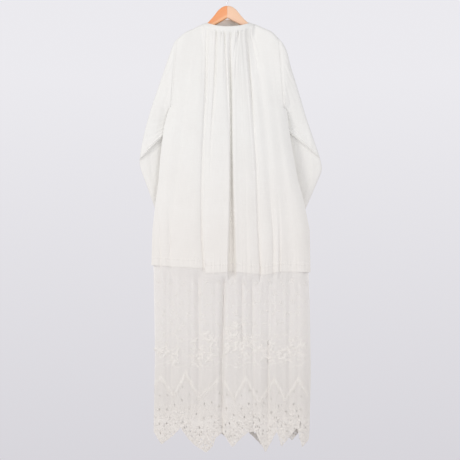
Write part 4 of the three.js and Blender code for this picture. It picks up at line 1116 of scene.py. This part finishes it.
# Short level stitches that fill the middle of the skirt
def dashRows():
    rows = []
    for number, z in enumerate(np.arange(-1040, -1262, -6.2)):
        for x in np.arange(-216 + number % 2 * 8, 250, 17):
            near = math.exp(-((x - 34) / 52) ** 2 - ((z + 1165) / 80) ** 2)
            if rng.random() < 0.85 * near + 0.12:
                rows.append((x + 3 * spot(), z + 0.8 * spot(), "leaf", 5.2 + 1.2 * spot(), 6 * spot()))
    return rows


def clusterRows(clusters):
    rows = []
    for x, z, wide, tall, count in clusters:
        for k in range(count):
            reach, turn = math.sqrt((k + 0.5) / count), 2.4 * k + spot()
            px, pz = x + wide * reach * math.cos(turn), z + tall * reach * math.sin(turn)
            rows.append((px, pz, "flower", motifSizes["flower"] * (1 + 0.22 * spot()), 360 * rng.random()))
            for leafTurn in (turn + 1.1 + 0.4 * spot(), turn - 1.2 + 0.4 * spot()):
                rows.append((px + 10 * math.cos(leafTurn), pz + 10 * math.sin(leafTurn), "leaf",
                             motifSizes["leaf"] * (1 + 0.2 * spot()), -math.degrees(leafTurn)))
            rows.append((px + 8 * spot(), pz + 9 * spot(), "dot", 1.3, 0))
    return rows


def lineSpots(line, drop, step):  # evenly spaced places along a line, and its slant there
    x, z = np.array(line, float).T
    z = z - drop
    lengths = np.append(0, np.cumsum(np.hypot(np.diff(x), np.diff(z))))
    places = np.arange(step / 2, lengths[-1], step)
    x, z = np.interp(places, lengths, x), np.interp(places, lengths, z)
    return x, z, np.degrees(np.arctan2(-np.gradient(z), np.gradient(x)))


def zigzagRows(zigzag):
    rows = []
    for drop, kind, size, step, turned in ((0, "leaf", 6.4, 8.0, 12), (13, "dot", 1.7, 5.5, 0),
                                           (-12, "dot", 1.3, 6.5, 0)):
        rows += [(x, z, kind, size, spin + turned) for x, z, spin in zip(*lineSpots(zigzag, drop, step))]
    return rows


def dotFillRows():
    rows, step = [], motifSizes["dotStep"]
    for number, z in enumerate(np.arange(-1380, -1430, -step * 0.86)):
        for x in np.arange(-236 + number % 2 * step / 2, 270, step):
            rows.append((x + 0.6 * spot(), z + 0.6 * spot(), "dot", motifSizes["dot"], 0))
    return rows


def borderRows(lacePanel):
    rows, count = [], lacePanel["columns"]
    for number, down in enumerate(borderLines):
        size = motifSizes["borderFlower"] * (0.7 + 0.26 * smooth((down - 0.83) / 0.08))
        for column in np.arange(0.5, count, 1.0):
            if rng.random() > 0.3 + 0.7 * smooth((down - 0.82) / 0.09):
                continue
            across = (column + 0.12 * spot() + 0.5 * (1 - number % 2)) / count
            if across > 0.99 or rng.random() < 0.06:
                continue
            place = laceSpot(lacePanel, across, down + 0.006 * spot())
            rows.append((*place, "flower", size * (1 + 0.16 * spot()), 360 * rng.random()))
    for column in np.arange(0.25, count, 0.5):
        place = laceSpot(lacePanel, column / count, 0.989)
        rows.append((*place, "leaf", 4.2 + 0.7 * spot(), 90 + 22 * spot()))
        place = laceSpot(lacePanel, column / count, 0.918 + 0.008 * spot())
        rows.append((*place, "leaf", 4.0, 360 * rng.random()))
    return rows


def gapRingRows(lacePanel):
    count, rowShare = lacePanel["columns"], (1 - laceDetail["lowerFrom"]) / laceDetail["lowerRows"]
    return [(*laceSpot(lacePanel, (block + 0.5) / count, laceDetail["lowerFrom"] + rowShare * (first + 2)),
             "ring", 3.0, 0, 1.8) for first in laceDetail["gapRows"] for block in range(1, count - 1, 2)]


def laceCords(lacePanel):
    across = np.linspace(0.004, 0.996, 260)
    vine = np.linspace(motifSizes["fromX"], motifSizes["toX"], 170)
    lines = [laceFlat(lacePanel, across, 0.994)]
    lines += [lineSpots(lacePanel["zigzag"], drop, 3.0)[:2] for drop in (6.5, -6.5)]
    lines += [(vine, height + ripple(vine, [(wide, 92, turn), (wide / 3, 41, 2 * turn)]))
              for height, wide, turn in vines]
    return lines


# How steeply the lace's folds fall away at a place
def foldSlope(lacePanel, x, z):
    places = x + np.array([-4.0, -1.5, 1.5, 4.0])[:, None]
    depths = laceDepth(lacePanel, places, np.broadcast_to(z, places.shape))
    return np.abs(np.diff(depths, axis=0) / np.diff(places, axis=0)).max(0)


for name, lacePanel in laceHalves.items():
    rows = sprigRows() + dashRows() + clusterRows(lacePanel["clusters"]) + zigzagRows(lacePanel["zigzag"]) \
        + dotFillRows() + borderRows(lacePanel) + gapRingRows(lacePanel)
    steep = foldSlope(lacePanel, *[np.array([row[i] for row in rows]) for i in (0, 1)])
    rows = [row for row, slope in zip(rows, steep)
            if motifSizes["fromX"] < row[0] < motifSizes["toX"] and slope < motifSizes["steepest"]]
    flowers = sewOn(name + "Flowers", motifLayout(name + "Layout", rows), sewnMotifs,
                    dict(motifs, Size=0.001, Thread=laceThread), lacePanel, laceDepth, "lace")
    cords = sewOn(name + "Cords", cordLayout(name + "Lines", laceCords(lacePanel)), sewnCords,
                  {"Radius": motifSizes["cord"] / 1000, "Thread": laceThread}, lacePanel, laceDepth,
                  "lace", flatten=0.6)
    trim[name] = [flowers, cords]
    print(name, len(rows), "motifs,", len(flowers.data.polygons), "faces")
print("lace ready")

# Stitches along the linen's hem and armholes
stitches = {"length": 1.5, "step": 4.2, "belowHemTop": 3.0, "fromArmhole": 4.5}


def stitchRows():
    rows = []
    for x in np.arange(-240, 262, stitches["step"]):
        before, z, after = [float(readRows(linenHem, x + step)) for step in (-1, 0, 1)]
        rows.append((x, z + cloth["hemHeight"] - stitches["belowHemTop"], "stitch", stitches["length"],
                     -math.degrees(math.atan2(after - before, 2))))
    for side, inward, spin in (("left", 1, 86), ("right", -1, 94)):
        for z in np.arange(armholes[side]["topZ"] - 5, armholes[side]["bottomZ"] + 3, -stitches["step"]):
            x = armholeX(side, z) + inward * stitches["fromArmhole"]
            rows.append((x, z, "stitch", stitches["length"], spin))
    return rows


def hemmedDepth(panel, x, z):
    return hangDepth(panel, x, z) + hemTurn(z - readRows(linenHem, x))


for name, panel in (("linenFront", frontPanel), ("linenBack", backPanel)):
    trim[name] = [sewOn(name + "Stitches", motifLayout(name + "Marks", stitchRows()), sewnMotifs,
                        dict(motifs, Size=0.001, Thread=sewingThread), panel, hemmedDepth, "linen",
                        lift=0.05)]
for motif in motifs.values():
    bpy.data.objects.remove(motif)
print("stitches ready")

# Wooden arms: top and bottom height and half-thickness at each distance from the middle
woodStations = [
    (0.15, -65, -106.6, 6.5), (8, -66, -110.5, 6.5), (17, -69.2, -116, 6.5), (32, -81.2, -124.3, 6.5),
    (43, -97, -130, 6.5), (63, -119, -140, 6.5), (72, -127.3, -145, 6.5), (84, -133.8, -150, 6.2),
    (103, -140, -156.5, 6.1), (118, -145.4, -162.5, 6), (137, -154.2, -171, 5.7), (150, -163.6, -178, 5),
    (158, -171.5, -180, 3.2),
]
hanger = {"rounding": 0.8, "tilt": 0.026, "stations": 70, "corner": 7, "tipX": 158.2, "tipLength": 4,
          "tipLeast": 0.3, "wire": 2.0, "radius": 20, "around": 16}


def tubeFaces(rows, around):  # rings of points, with a cap at each end
    faces = [(r * around + c, r * around + n, (r + 1) * around + n, (r + 1) * around + c)
             for r in range(rows - 1) for c in range(around) for n in [(c + 1) % around]]
    return faces + [tuple(range(around))[::-1], tuple(range((rows - 1) * around, rows * around))]


def hangerArm(name, node, sideways, material):
    x = np.concatenate([np.linspace(0.15, 156, hanger["stations"]), [157, 157.7, 158]])
    places, *columns = np.array(woodStations).T
    top, bottom, half = [readTable(places, column, x, 4) for column in columns]
    tip = np.maximum(np.sqrt(clamp01((hanger["tipX"] - x) / hanger["tipLength"])), hanger["tipLeast"])
    middle, height, half = (top + bottom) / 2, (top - bottom) / 2 * tip, half * tip
    corner = np.minimum(half, height) * hanger["rounding"]
    turn = np.radians(np.concatenate([np.linspace(q * 90, q * 90 + 90, hanger["corner"]) for q in range(4)]))
    signY, signZ = [np.repeat(signs, hanger["corner"]) for signs in ([1, -1, -1, 1], [1, 1, -1, -1])]
    y = signY * (half - corner)[:, None] + corner[:, None] * np.cos(turn)
    z = middle[:, None] + signZ * (height - corner)[:, None] + corner[:, None] * np.sin(turn)
    wide = np.broadcast_to(sideways * x[:, None], y.shape)
    points = bowed(np.stack([wide, y, z + hanger["tilt"] * wide], -1))
    faces = [face[::sideways] for face in tubeFaces(*y.shape)]
    piece = addPiece(name, node, points, faces, material, "wood", sharp=40)
    aboveEdge = (z - bottom[:, None]).ravel() / 1000
    piece.data.attributes.new("aboveEdge", "FLOAT", "POINT").data.foreach_set("value", aboveEdge)


hangerArm("hangerArmLeft", "hanger_arm_left", -1, newMaterial("woodLeft", woodNodes))
hangerArm("hangerArmRight", "hanger_arm_right", 1, newMaterial("woodRight", woodNodes))

# Wire hook: an arc over the rail, a bend back to the middle and the straight stem
turns = np.radians(np.arange(205, -36, -5))
arc = hanger["radius"] * np.stack([np.cos(turns), 0 * turns, np.sin(turns)], -1)
stem = [(13, 0, -33.6), (8.5, 0, -37.8), (4.2, 0, -41.8), (1.4, 0, -46), (0.2, 0, -51), (0, 0, -56),
        (0, 0, -70), (0, 0, -98)]
path = np.concatenate([arc + (0, 0, hanger["wire"] - hanger["radius"]), stem])
toBack = np.array([0.0, 1.0, 0.0])
toSide = unit(np.cross(unit(np.gradient(path, axis=0)), toBack))
ends = np.array([0.55, 0.85] + [1.0] * (len(path) - 4) + [0.95, 0.7])
turns = circle(hanger["around"])[:, None]
rings = path[:, None] + ends[:, None, None] * hanger["wire"] * (
    np.cos(turns) * toBack + np.sin(turns) * toSide[:, None])
addPiece("hangerHook", "hanger_hook", rings, tubeFaces(*rings.shape[:2]), steel, "steel", sharp=60)
print("hanger ready")

# Floor, light and camera
studio = {"floorZ": -1.78, "floorRadius": 1.15, "ambient": 0.86,
          "wall": [(0.1, (0.68, 0.67, 0.70)), (0.34, (0.79, 0.775, 0.82)), (0.6, (0.97, 0.96, 1.0)),
                   (0.7, (0.97, 0.96, 1.0)), (0.9, (0.62, 0.62, 0.64))]}
lights = {  # place, aim, size, power and colour
    "keyLight": ((-3.2, -2.5, 0.7), (0, 0, -0.65), 1.4, 44, (1, 0.985, 0.96)),
    "fillLight": ((1.5, -3.9, -0.15), (0, 0, -0.6), 1.6, 26, (0.97, 0.98, 1)),
    "frontLight": ((0, -4.7, -0.12), (0, 0, -0.2), 0.7, 18, (1, 0.98, 0.96)),
    "backLight": ((1.6, 4.2, 0.5), (0, 0, -0.7), 2.2, 34, (1, 0.99, 0.98)),
}

rim = np.insert(polar(studio["floorRadius"], circle(96)), 2, studio["floorZ"], 1)
floor = addObject("floor", plainMesh("floor", rim.tolist(), [], [tuple(range(len(rim)))]))
floor.data.materials.append(newMaterial("floorPaint", floorNodes))
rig.stage(floor)

world = bpy.data.worlds.new("studio")
add = startNodes(world)
height = add("ShaderNodeSeparateXYZ", {0: add("ShaderNodeTexCoord", out="Generated")}, "Z")
wall = ramp(add, ranged(add, height, -0.5, 0.5), *studio["wall"])
background = add("ShaderNodeBackground", {"Color": wall, "Strength": studio["ambient"]})
add("ShaderNodeOutputWorld", {"Surface": background})
bpy.context.scene.world = world

for name, (place, aim, size, power, colour) in lights.items():
    data = bpy.data.lights.new(name, "AREA")
    data.shape, data.size, data.energy, data.color = "DISK", size, power, colour
    lamp = addObject(name, data)
    lamp.location = place
    lamp.rotation_euler = (Vector(aim) - Vector(place)).to_track_quat("-Z", "Y").to_euler()
bpy.context.scene.view_settings.view_transform = "Standard"

camera = addObject("camera", bpy.data.cameras.new("camera"))
camera.data.lens, camera.data.sensor_width = 118.6, 36
camera.location = (0.009, -5.0, -0.805)
camera.rotation_euler = (math.radians(90), 0, 0)
bpy.context.scene.camera = camera
print("stage ready")

# Flat cuts in metres: width, length and area, how each hangs and what it hangs from
arms, panels = ["hangerArmLeft", "hangerArmRight"], ["linenFront", "linenBack"]
sheets = [
    ("linenFront", (0.60, 0.82), 0.375, "gathered", arms),
    ("linenBack", (0.59, 0.82), 0.370, "gathered", arms),
    ("neckBand", (0.39, 0.016), 0.006, "hung", panels),
    ("sleeveLeft", (0.44, 0.64), 0.106, "hung", panels),
    ("sleeveRight", (0.44, 0.64), 0.113, "hung", panels),
    ("laceFront", (0.56, 0.63), 0.312, "hung", ["linenFront"]),
    ("laceBack", (0.55, 0.62), 0.298, "hung", ["linenBack"]),
]
for name, flat, area, held, restsOn in sheets:
    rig.sheet(pieces[name], flat=flat, held=held, rests_on=restsOn, area=area, with_pieces=trim.get(name, []))
print("sheets ready")

with open("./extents.json", "w") as out:
    json.dump({"cadBox": [list(map(float, corner)) for corner in cadBox],
               "newBox": [list(map(float, corner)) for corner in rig.bounds()]}, out)
